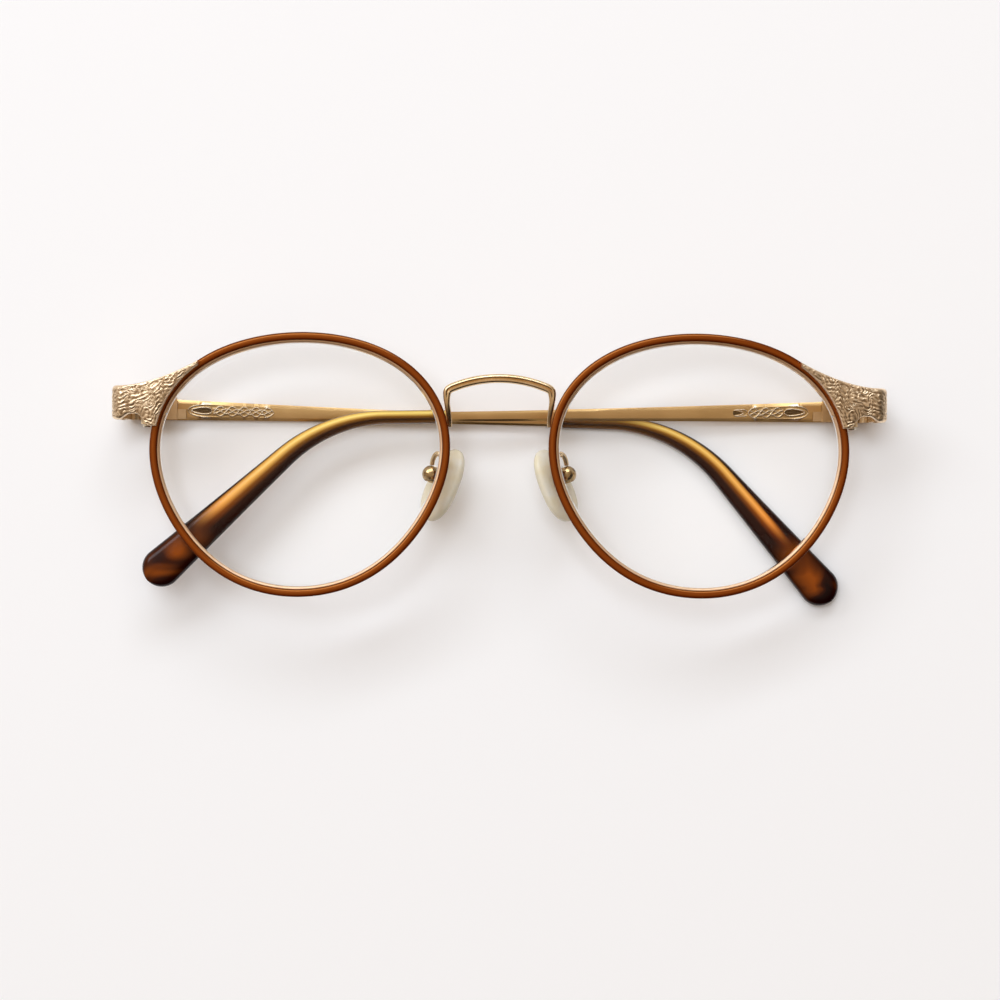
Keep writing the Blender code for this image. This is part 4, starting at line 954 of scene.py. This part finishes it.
# %% Temple line
TEMPLE_MOUTH = 0.0755
BEND_START = 0.0867
BEND_RADIUS = 0.0275
CAP_START = 0.1360
DROPS = {-1: radians(1.5), 1: radians(1.0)}
BENDS = {-1: radians(47.3), 1: radians(41.3)}
RIGHT_OVERFOLD = radians(3.2)
BAR_BUTT = 0.00090
BAR_THICKNESS = 0.00120
BAR_MOUTH_HEIGHT = 0.00175
BAR_TAPER = 1.6
BAR_INNER = 0.00135
BAR_MIDDLE = -(BAR_INNER + BAR_THICKNESS / 2)
CORE_END = CAP_START - 0.0085
CORE_HEIGHT = 0.00150
CORE_THICKNESS = 0.00090
LINE_STEPS = 6001
LINE_PAST_CAP = 0.006


def temple_line(places, side):
    """x, y and heading at distances along the temple, by adding up steps of cosine and sine."""
    steps = np.linspace(-4 * BAR_BUTT, CAP_START + LINE_PAST_CAP, LINE_STEPS)
    heading = DROPS[side] + np.clip((steps - BEND_START) / BEND_RADIUS, 0.0, BENDS[side])
    step = steps[1] - steps[0]
    x, y = np.cumsum(np.cos(heading)) * step, -np.cumsum(np.sin(heading)) * step
    x, y = x - np.interp(0.0, steps, x), y - np.interp(0.0, steps, y)
    return [np.interp(places, steps, line) for line in (x, y, heading)]


def carried(places, up, out, side):
    """Rings of (up, out) section points, square to the temple's line at each place."""
    x, y, heading = (line[:, None] for line in temple_line(places, side))
    return np.stack([x + up * np.sin(heading), y + up * np.cos(heading), out + 0 * x], axis=-1)


def temple_to_world(points, side):
    """Turns a temple about its hinge to the folded place, and mirrors it to its side."""
    turned = points * (-side, 1.0, 1.0)
    fold = RIGHT_OVERFOLD if side > 0 else 0.0
    turned = turned @ np.array(Matrix.Rotation(fold, 3, "Y")).T
    return turned + (side * HINGE_X, HINGE_Y, 0.0) + FRONT_PLACE


for name, side in SIDES.items():
    tip_x, tip_y, _ = temple_line(CAP_START, side)
    print(f"{name} temple's tip, mm along and down:", round(1000 * tip_x, 1), round(-1000 * tip_y, 1))

# %% Relief panels of the temples
PANELS = {-1: [(0.0098, 0.0254, 0.00138)], 1: [(0.0103, 0.0213, 0.00138), (0.0214, 0.0240, 0.00080)]}
PANEL_DEPTH = 0.00020
PANEL_LINE = 0.00014
BRAID_TURN = 0.0043
BRAID_STRANDS = [(0.62, 0.0), (0.62, 0.5), (0.30, 0.25), (0.30, 0.75)]
OVAL_POWER = 5
OVAL_LINE_IN = 0.00020
PANEL_FLOOR = 0.34
DROP_AT = 0.0026
DROP_LENGTH = 0.0034
DROP_HALF = 0.00044
DROP_LEAN = 0.4
DROP_CLEAR = 0.0005


def ridge(distance):
    """A raised line: exp(-(distance / width)^2)."""
    return np.exp(-((distance / PANEL_LINE) ** 2))


def braid(along, up, half):
    """Strands up = size * sin(2 pi (along / turn + phase)), as lines of even width."""
    highest = 0.0
    for share, phase in BRAID_STRANDS:
        turn = 2 * pi * (along / BRAID_TURN + phase)
        steep = share * half * 2 * pi / BRAID_TURN * np.cos(turn)
        highest = np.maximum(highest, ridge((up - share * half * np.sin(turn)) / np.hypot(1.0, steep)))
    return highest


def panel_relief(places, up, side):
    """A braid inside a raised oval, half * sqrt(1 - share^5), with a drop-shaped hollow at one end."""
    height, inside = 0.0, 0.0
    for start, end, half in PANELS[side]:
        share = np.abs(2 * places - start - end) / (end - start)
        reach = half * np.sqrt(np.clip(1 - share**OVAL_POWER, 0.0, 1.0))
        border = reach - np.abs(up)
        here = smooth_step(border / PANEL_LINE)
        drop = (places - start - DROP_AT) / (DROP_LENGTH / 2)
        drop_reach = DROP_HALF * np.sqrt(np.clip(1 - drop**2, 0.0, 1.0)) * (1 + DROP_LEAN * drop)
        past_drop = smooth_step((places - start - DROP_AT - DROP_LENGTH / 2) / DROP_CLEAR)
        lines = np.maximum(ridge(border - OVAL_LINE_IN), braid(places - end, up, half) * past_drop)
        lines = np.maximum(lines, ridge(np.abs(up) - drop_reach - PANEL_LINE) * (np.abs(drop) < 1.1))
        hollow = smooth_step((drop_reach - np.abs(up)) / PANEL_LINE)
        raised = PANEL_FLOOR + (1 - PANEL_FLOOR) * lines
        height = np.maximum(height, raised * here * (1 - hollow))
        inside = np.maximum(inside, here)
    return height, inside


print("relief panels:", {name: len(PANELS[side]) for name, side in SIDES.items()})

# %% Temple bars with their core wires
BAR_CROWN = 0.00005
BAR_BEVEL_UP = 0.00060
BAR_BEVEL_OUT = 0.00030
BEVEL_SHARE = 0.4
PANEL_SUNK = 0.6
PLAIN_BAR = 0.8
PANEL_APPROACH = 0.0006
PANEL_MARGIN = 0.0004
PANEL_AFTER = 0.0010
CORE_ROUND = 0.0006
CORE_ROUND_TURN = np.radians([30, 60, 80])


def temple_places(side):
    """Stations along the bar, close together over the relief panel, and on to the core's round end."""
    panel_start, panel_end = PANELS[side][0][0], PANELS[side][-1][1]
    bar = np.concatenate([
        [-BAR_BUTT, -BAR_BUTT / 2], np.linspace(0.0, panel_start - PANEL_APPROACH, 8),
        np.linspace(panel_start - PANEL_MARGIN, panel_end + PANEL_MARGIN, 320),
        np.linspace(panel_end + PANEL_AFTER, TEMPLE_MOUTH - SEAM, 60),
    ])
    core = np.linspace(TEMPLE_MOUTH, CORE_END - CORE_ROUND, 60)
    tip = CORE_END - CORE_ROUND * (1 - np.sin(CORE_ROUND_TURN))
    return np.concatenate([bar, [TEMPLE_MOUTH - SEAM], core, tip]), len(bar)


def temple_halves(places, bar_count):
    """Half the height and half the thickness: a power of the way left to the mouth, then the core."""
    left = np.clip(1 - places / TEMPLE_MOUTH, 0.0, 1.0)
    tall = (BAR_MOUTH_HEIGHT + (BAR_HEIGHT - BAR_MOUTH_HEIGHT) * left**BAR_TAPER) / 2
    thick = np.full(len(places), BAR_THICKNESS / 2)
    tall[bar_count:], thick[bar_count:] = CORE_HEIGHT / 2, CORE_THICKNESS / 2
    shrink = np.cos(CORE_ROUND_TURN)
    tall[-3:], thick[-3:] = tall[-3:] * shrink, thick[-3:] * shrink
    return tall[:, None], thick[:, None]


def make_temple(name, side):
    """A flat bar with slanting corners to the sleeve, then the slimmer core wire."""
    places, bar_count = temple_places(side)
    tall, thick = temple_halves(places, bar_count)
    cut_up, cut_out = np.minimum(BAR_BEVEL_UP, tall * BEVEL_SHARE), np.minimum(BAR_BEVEL_OUT, thick / 2)
    face = np.linspace(-1.0, 1.0, 64)[None]
    inner_up = face * (tall - cut_up)
    relief, inside = panel_relief(places[:, None], inner_up, side)
    crown = BAR_CROWN * face**2 * (places < TEMPLE_MOUTH - SEAM)[:, None]
    inner_out = thick + PANEL_DEPTH * (relief - PANEL_SUNK * inside) - crown
    up = np.hstack([-tall, inner_up, tall, tall, tall - cut_up, cut_up - tall, -tall])
    edge_out = thick - cut_out
    out = np.hstack([edge_out, inner_out, edge_out, -edge_out, -thick, -thick, -edge_out])
    grid = temple_to_world(with_ends(carried(places, up, out + BAR_MIDDLE, side)), side)
    plain = np.full((len(places), 1), PLAIN_BAR)
    # The relief number also paints shade into the panel's grooves and hollow, and a highlight onto its
    # crests.
    painted_relief_shade = np.where(inside > 0, relief + PLAIN_BAR * (1 - inside), PLAIN_BAR)
    number = np.hstack([plain, painted_relief_shade] + [plain] * 5)
    number = np.vstack([number[:1], number, number[-1:]])
    piece = make_piece(f"temple_bar_{name}", grid, temple_gold, sharp=21.0, relief=number)
    return place_piece(piece, f"temple_{name}", f"temple_{name}")


for name, side in SIDES.items():
    make_temple(name, side)

# %% [markdown]
# ## Sleeves
#
# The sleeve is amber and near-black acetate over the core. It starts as slim as the bar, widens
# steadily through the bend and ends in a round, slightly flattened tip. Its outer side is flat,
# and the folded glasses lie on it. A texture could paint the core, but its place is known along the
# sleeve anyway, so four numbers go with each point: how near it is to the sleeve's dark edge, how
# high it lies in the core's band, how amber the core has grown there, and how much of it shows.

# %% Look of the core along the sleeve
SLEEVE_WIDTHS = (0.0024, 0.0070)
SLEEVE_WIDENING = 1.3
CORE_MIDDLE = 0.70
CORE_DROPS = {-1: 0.14, 1: 0.03}
CORE_NARROWINGS = {-1: 0.7, 1: 0.2}
CORE_DARKEST = 0.32
CORE_FADE = 0.0080
CORE_TINTS = {-1: 1.0, 1: 0.80}
CORE_SETTLED = 0.6
EDGE_POWER = 1.5


def sleeve_width(places):
    """Width along the temple: even to the bend, then growing to the tip as a power of the way."""
    share = np.clip((places - BEND_START) / (CAP_START - BEND_START), 0.0, 1.0)
    return SLEEVE_WIDTHS[0] + (SLEEVE_WIDTHS[1] - SLEEVE_WIDTHS[0]) * share**SLEEVE_WIDENING


def sleeve_numbers(places, up_share, side):
    """Edge 1 - tip (1 - |up|^1.5), height in the core's band, amber as way^2, and the core's share."""
    tip = smooth_step((places - CORE_END + CORE_FADE / 2) / CORE_FADE)[:, None]
    edge = 1 - tip * (1 - np.abs(up_share) ** EDGE_POWER)
    way = np.clip((places - TEMPLE_MOUTH) / (CORE_END - TEMPLE_MOUTH), 0.0, 1.0)[:, None]
    # These numbers place the core's painted highlight and painted shade up its band.
    from_middle = 0.5 + 0.5 * up_share - CORE_MIDDLE + CORE_DROPS[side] * way**2
    core = CORE_MIDDLE + from_middle * (1 + CORE_NARROWINGS[side] * way**2)
    low = np.minimum(core, CORE_DARKEST) - CORE_DARKEST
    core = core - low * smooth_step(way / CORE_SETTLED)
    streak = smooth_step((CORE_END - places) / CORE_FADE)[:, None]
    numbers = (edge, core, CORE_TINTS[side] * way**2, streak)
    return {
        key: np.broadcast_to(np.clip(number, 0.0, 1.0), core.shape)
        for key, number in zip(("edge", "core", "amber", "streak"), numbers)
    }


print("sleeve width at its tip (mm):", round(1000 * sleeve_width(CAP_START), 2))

# %% Sleeves
SLEEVE_PROUD = 0.00045
SLEEVE_THICKNESSES = (0.0022, 0.0025, 0.0033)
SLEEVE_FLAT = 0.80
SLEEVE_SQUARENESS = 0.8
SLEEVE_COLUMNS = 56
TIP_THICKNESS = 0.35
MOUTH_THICKNESS = 0.90
MOUTH_WIDTH = 0.92
MOUTH_RUN = 0.00035
HINGE_RISE = BAR_INNER + BAR_THICKNESS + SLEEVE_PROUD


def sleeve_bore(turn, side):
    """An oblong hole round the core wire: cosine and sine, each over the longer of the two."""
    places = np.linspace(TEMPLE_MOUTH, CORE_END + SEAM, 40)
    longest = np.maximum(np.abs(np.cos(turn)), np.abs(np.sin(turn)))
    up = (np.cos(turn) / longest * (CORE_HEIGHT / 2 + FIT))[None]
    out = (np.sin(turn) / longest * (CORE_THICKNESS / 2 + FIT))[None] + BAR_MIDDLE
    return carried(places, up, out, side)[::-1]


def make_sleeve(name, side):
    """Bore from its blind end to the mouth, then the outside from the mouth to the tip."""
    cap = np.radians(np.linspace(0.0, 88.0, 16))[1:]
    straight, bent = np.linspace(TEMPLE_MOUTH, BEND_START, 24), np.linspace(BEND_START, CAP_START, 90)
    body = np.concatenate([straight, bent[1:]])
    places = np.concatenate([body, CAP_START + SLEEVE_WIDTHS[1] / 2 * np.sin(cap)])
    thickness = np.interp(places, [TEMPLE_MOUTH, BEND_START, CAP_START], SLEEVE_THICKNESSES)
    round_off = np.concatenate([np.ones(len(body)), np.cos(cap)])
    lip = smooth_step((places - TEMPLE_MOUTH) / MOUTH_RUN)
    turn = np.linspace(0.0, 2 * pi, SLEEVE_COLUMNS, endpoint=False)
    up = squared(np.cos(turn), SLEEVE_SQUARENESS)
    out = np.maximum(squared(np.sin(turn), SLEEVE_SQUARENESS), -SLEEVE_FLAT)
    share = (out + SLEEVE_FLAT) / (1 + SLEEVE_FLAT)
    thin = thickness * (TIP_THICKNESS + (1 - TIP_THICKNESS) * round_off)
    thin = thin * (MOUTH_THICKNESS + (1 - MOUTH_THICKNESS) * lip)
    lift = (thickness - thin) / 2
    width = sleeve_width(places) * round_off * (MOUTH_WIDTH + (1 - MOUTH_WIDTH) * lip)
    ups = up[None] * width[:, None] / 2
    outs = -HINGE_RISE + lift[:, None] + share[None] * thin[:, None]
    outside = carried(places, ups, outs, side)
    bore = sleeve_bore(turn, side)
    blank = np.zeros((len(bore) + 1, len(turn)))
    numbers = sleeve_numbers(places, up[None], side)
    numbers = {key: np.vstack([blank, number, number[-1:]]) for key, number in numbers.items()}
    grid = temple_to_world(with_ends(np.concatenate([bore, outside])), side)
    piece = make_piece(f"sleeve_{name}", grid, tortoise, sharp=50.0, **numbers)
    return place_piece(piece, f"temple_{name}", f"temple_tip_{name}")


for name, side in SIDES.items():
    make_sleeve(name, side)

# %% [markdown]
# ## Nose pads
#
# A pad is a soft egg-shaped cushion of cloudy silicone on a small metal plate. The plate ends in a
# lug, which a pin holds in the slot of a round box, so that the pad can rock. A sphere could be
# scaled to a cushion, but its sides would be too thin, so the outline is a fuller oval and it
# shrinks along a fuller profile. The pad is drawn in its own axes: x to the box, y up, z along the
# pin. A bent wire carries the box from behind the rim, and it is a round section along a curve.

# %% Place of the pads
PAD_PIN_OUT = 0.0018
PAD_PIN_Y = -0.0022
PAD_PIN_BACK = 0.0038
PAD_SPLAY = radians(37.0)
PAD_RAKE = radians(24.0)
pin_rise = float(surface_height(LENS_WIDTH / -2, 0.0)) - PAD_PIN_BACK
PAD_PIN = (NOSE_GAP / 2 + PAD_PIN_OUT, PAD_PIN_Y, pin_rise)
pad_axes = np.array(Matrix.Rotation(PAD_RAKE, 3, "Z") @ Matrix.Rotation(-PAD_SPLAY, 3, "Y"))


def pad_to_world(points, side):
    """From the pad's own axes to the world."""
    return to_world(points @ pad_axes.T + PAD_PIN, side)


print("right pad pin at", to_world(np.array(PAD_PIN), 1).round(4))

# %% Pads
PAD_LENGTH = 0.0137
PAD_WIDTH = 0.0083
PAD_THICKNESS = 0.0024
PAD_STAND_OFF = 0.0034
PAD_DROP = 0.0009
PAD_FULLNESS = 2.3
PAD_LEAN = 0.10
PAD_SIDE = 0.42
PAD_FACE = 0.9


def make_pad(name, side):
    """An oval |x|^n + |y|^n = 1, narrower at one end, scaled by a rounded profile across it."""
    around = np.linspace(0.0, 2 * pi, 96, endpoint=False)
    powers = np.abs(np.cos(around)) ** PAD_FULLNESS + np.abs(np.sin(around)) ** PAD_FULLNESS
    oval = powers ** (-1 / PAD_FULLNESS)
    lean = 1 + PAD_LEAN * np.sin(around)
    tilt = np.radians(np.linspace(90.0, -90.0, 37))
    share = np.abs(np.cos(tilt)) ** PAD_SIDE
    height = squared(np.sin(tilt), PAD_FACE)
    grid = np.zeros((len(tilt), len(around), 3))
    grid[:, :, 0] = height[:, None] * PAD_THICKNESS / 2 - PAD_STAND_OFF
    grid[:, :, 1] = share[:, None] * (oval * np.sin(around)) * PAD_LENGTH / 2 - PAD_DROP
    grid[:, :, 2] = share[:, None] * (oval * np.cos(around) / lean) * PAD_WIDTH / 2
    grid[[0, -1], :, 1:] = (-PAD_DROP, 0.0)
    piece = make_piece(f"nose_pad_{name}", pad_to_world(grid, side), pad_ivory, sharp=80.0)
    return place_piece(piece, f"pad_{name}", f"pad_{name}")


# %% Pad arms, and both pieces on each side
PAD_BOX_RADIUS = 0.00160
ARM_RADIUS = 0.00042
ARM_ANGLE = radians(0.5)
ARM_RISE = 0.0021
ARM_END_WAY = Vector((-0.1, 1.0, 0.35)).normalized()


def make_pad_arm(name, side):
    """A round wire from behind the rim, up in a loop and back down to the box."""
    foot = Vector(rim_point(ARM_ANGLE, -FIT, -EYEWIRE_DEPTH / 2 - SEAM - ARM_RADIUS)[0])
    end = Vector(PAD_PIN) + ARM_END_WAY * (PAD_BOX_RADIUS + SEAM)
    foot_pull, end_pull = foot + Vector((0.0, ARM_RISE, 0.0)), end + ARM_END_WAY * ARM_RISE
    line = np.array([point[:] for point in interpolate_bezier(foot, foot_pull, end_pull, end, 60)])
    across, front = path_axes(line)
    turn = np.linspace(0.0, 2 * pi, 20, endpoint=False)[None, :, None]
    section = across[:, None] * np.cos(turn) + front[:, None] * np.sin(turn)
    rings = line[:, None] + ARM_RADIUS * section
    piece = make_piece(f"pad_wire_{name}", to_world(with_ends(rings), side), wire_gold)
    return place_piece(piece, "front", f"pad_arm_{name}")


for name, side in SIDES.items():
    make_pad(name, side)
    make_pad_arm(name, side)

# %% [markdown]
# ## Finishes for the pieces kept from the CAD part
#
# Locks, hinges, screws, pad boxes, pins and inserts are small, partly hidden and already have the
# right shape. They could be drawn again, but nothing would look better for it, so the CAD meshes
# stay and only get a finish. The round pad boxes get a more polished gold, painted darker as shade.

# %% Kept pieces
KEPT = {
    "rim_lock_upper": fitting_gold,
    "rim_lock_lower": fitting_gold,
    "rim_lock_screw": screw_metal,
    "front_hinge": fitting_gold,
    "temple_hinge": fitting_gold,
    "hinge_screw": screw_metal,
    "pad_box": ball_gold_painted_shade,
    "pad_pin": screw_metal,
    "pad_insert": wire_gold,
}
for stem, finish in KEPT.items():
    for name in SIDES:
        frame["nodes"][f"{stem}_{name}"].material_slots[0].material = finish
print("finishes given to", 2 * len(KEPT), "kept pieces")

# %% [markdown]
# ## Floor and light
#
# The photograph was taken on white paper, with a wide window beyond the top edge and a pale ceiling.
# A wide low lamp beyond the top edge throws the same soft shadow towards the viewer, and the upper
# bevels mirror it. A panel overhead lights the paper. It stays out of reflections, because a lamp
# seen in flat metal would bleach it. What metal mirrors besides is a room that changes with
# direction: bright overhead on the window's side, dim and warm on the near side. A uniform world
# would be simpler, but polished gold looks flat in it. The camera sees a pale backdrop instead,
# and so does light that comes low down through a lens.

# %% Floor
FLOOR_HALF = 0.6
FLOOR_COLOUR = (0.97, 0.955, 0.955, 1.0)


def make_floor():
    """A flat pale sheet under the glasses: four corners at plus and minus half its size."""
    corners = [(x * FLOOR_HALF, y * FLOOR_HALF, 0.0) for x, y in ((-1, -1), (1, -1), (1, 1), (-1, 1))]
    mesh = bpy.data.meshes.new("floor")
    mesh.from_pydata(corners, [], [(0, 1, 2, 3)])
    mesh.materials.append(new_finish("pale_floor", Roughness=0.75, Base_Color=FLOOR_COLOUR)[0])
    floor = bpy.data.objects.new("floor", mesh)
    bpy.context.scene.collection.objects.link(floor)
    floor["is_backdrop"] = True
    return floor


print(make_floor().name, "made")

# %% Lamps
DAYLIGHT = (0.805, 0.90, 1.0)
WINDOW_PLACE = (-0.50, 1.30, 1.30)
WINDOW_SIZE = (2.80, 0.65)
WINDOW_ENERGY = 23.5
PANEL_PLACE = (-0.20, 0.34, 1.90)
PANEL_SIZE = (0.90, 0.90)
PANEL_ENERGY = 14.3


def area_lamp(name, place, size, energy):
    """A wide soft lamp of cool daylight that looks at the middle of the glasses."""
    data = bpy.data.lights.new(name, "AREA")
    data.shape = "RECTANGLE"
    data.size, data.size_y = size
    data.energy = energy
    data.color = DAYLIGHT
    lamp = bpy.data.objects.new(name, data)
    lamp.location = place
    lamp.rotation_euler = (-Vector(place)).to_track_quat("-Z", "Y").to_euler()
    bpy.context.scene.collection.objects.link(lamp)
    print("lamp", name, energy, "W")
    return lamp


area_lamp("window", WINDOW_PLACE, WINDOW_SIZE, WINDOW_ENERGY)
panel = area_lamp("panel", PANEL_PLACE, PANEL_SIZE, PANEL_ENERGY)
panel.visible_glossy = False
panel.visible_transmission = False

# %% Room
BACKDROP = (0.80, 0.78, 0.77)
LOW_DOWN = (0.15, 0.35)
ROOM_DIM = (0.018, 0.011, 0.007)
ROOM_MIDDLE = (0.52, 0.405, 0.300)
ROOM_BRIGHT = (1.00, 0.91, 0.80)
ROOM_AXIS = (-0.36, 0.44, 0.82)


def soft_room():
    """Colour by direction . axis, but the backdrop for the camera and, low down, through lenses."""
    world = bpy.data.worlds.new("studio")
    world.use_nodes = True
    tree = world.node_tree
    place = tree.nodes.new("ShaderNodeTexCoord")
    towards = tree.nodes.new("ShaderNodeVectorMath")
    towards.operation = "DOT_PRODUCT"
    towards.inputs[1].default_value = ROOM_AXIS
    tree.links.new(place.outputs["Generated"], towards.inputs[0])
    colour = ramp(
        tree, towards.outputs["Value"],
        (0.18, ROOM_DIM), (0.60, ROOM_MIDDLE), (0.83, ROOM_MIDDLE), (1.0, ROOM_BRIGHT),
    )
    height = tree.nodes.new("ShaderNodeSeparateXYZ")
    tree.links.new(place.outputs["Generated"], height.inputs[0])
    lowness = in_range(tree, height.outputs["Z"], 1.0, 0.0, *LOW_DOWN)
    low_down = blend_colours(tree, lowness, colour, BACKDROP)
    path = tree.nodes.new("ShaderNodeLightPath")
    through = blend_colours(tree, path.outputs["Is Transmission Ray"], colour, low_down)
    seen = blend_colours(tree, path.outputs["Is Camera Ray"], through, BACKDROP)
    tree.links.new(seen, tree.nodes["Background"].inputs["Color"])
    bpy.context.scene.world = world
    print("world", world.name)


soft_room()

# %% [markdown]
# ## Sizes
#
# The new pieces could make the part bigger than the CAD model, so both boxes are taken and their
# difference is printed.

# %% Compare the boxes and finish
low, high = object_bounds()
grown = np.subtract(high, low) - np.subtract(cad_high, cad_low)
print("grown by (mm)", (1000 * grown).round(3))
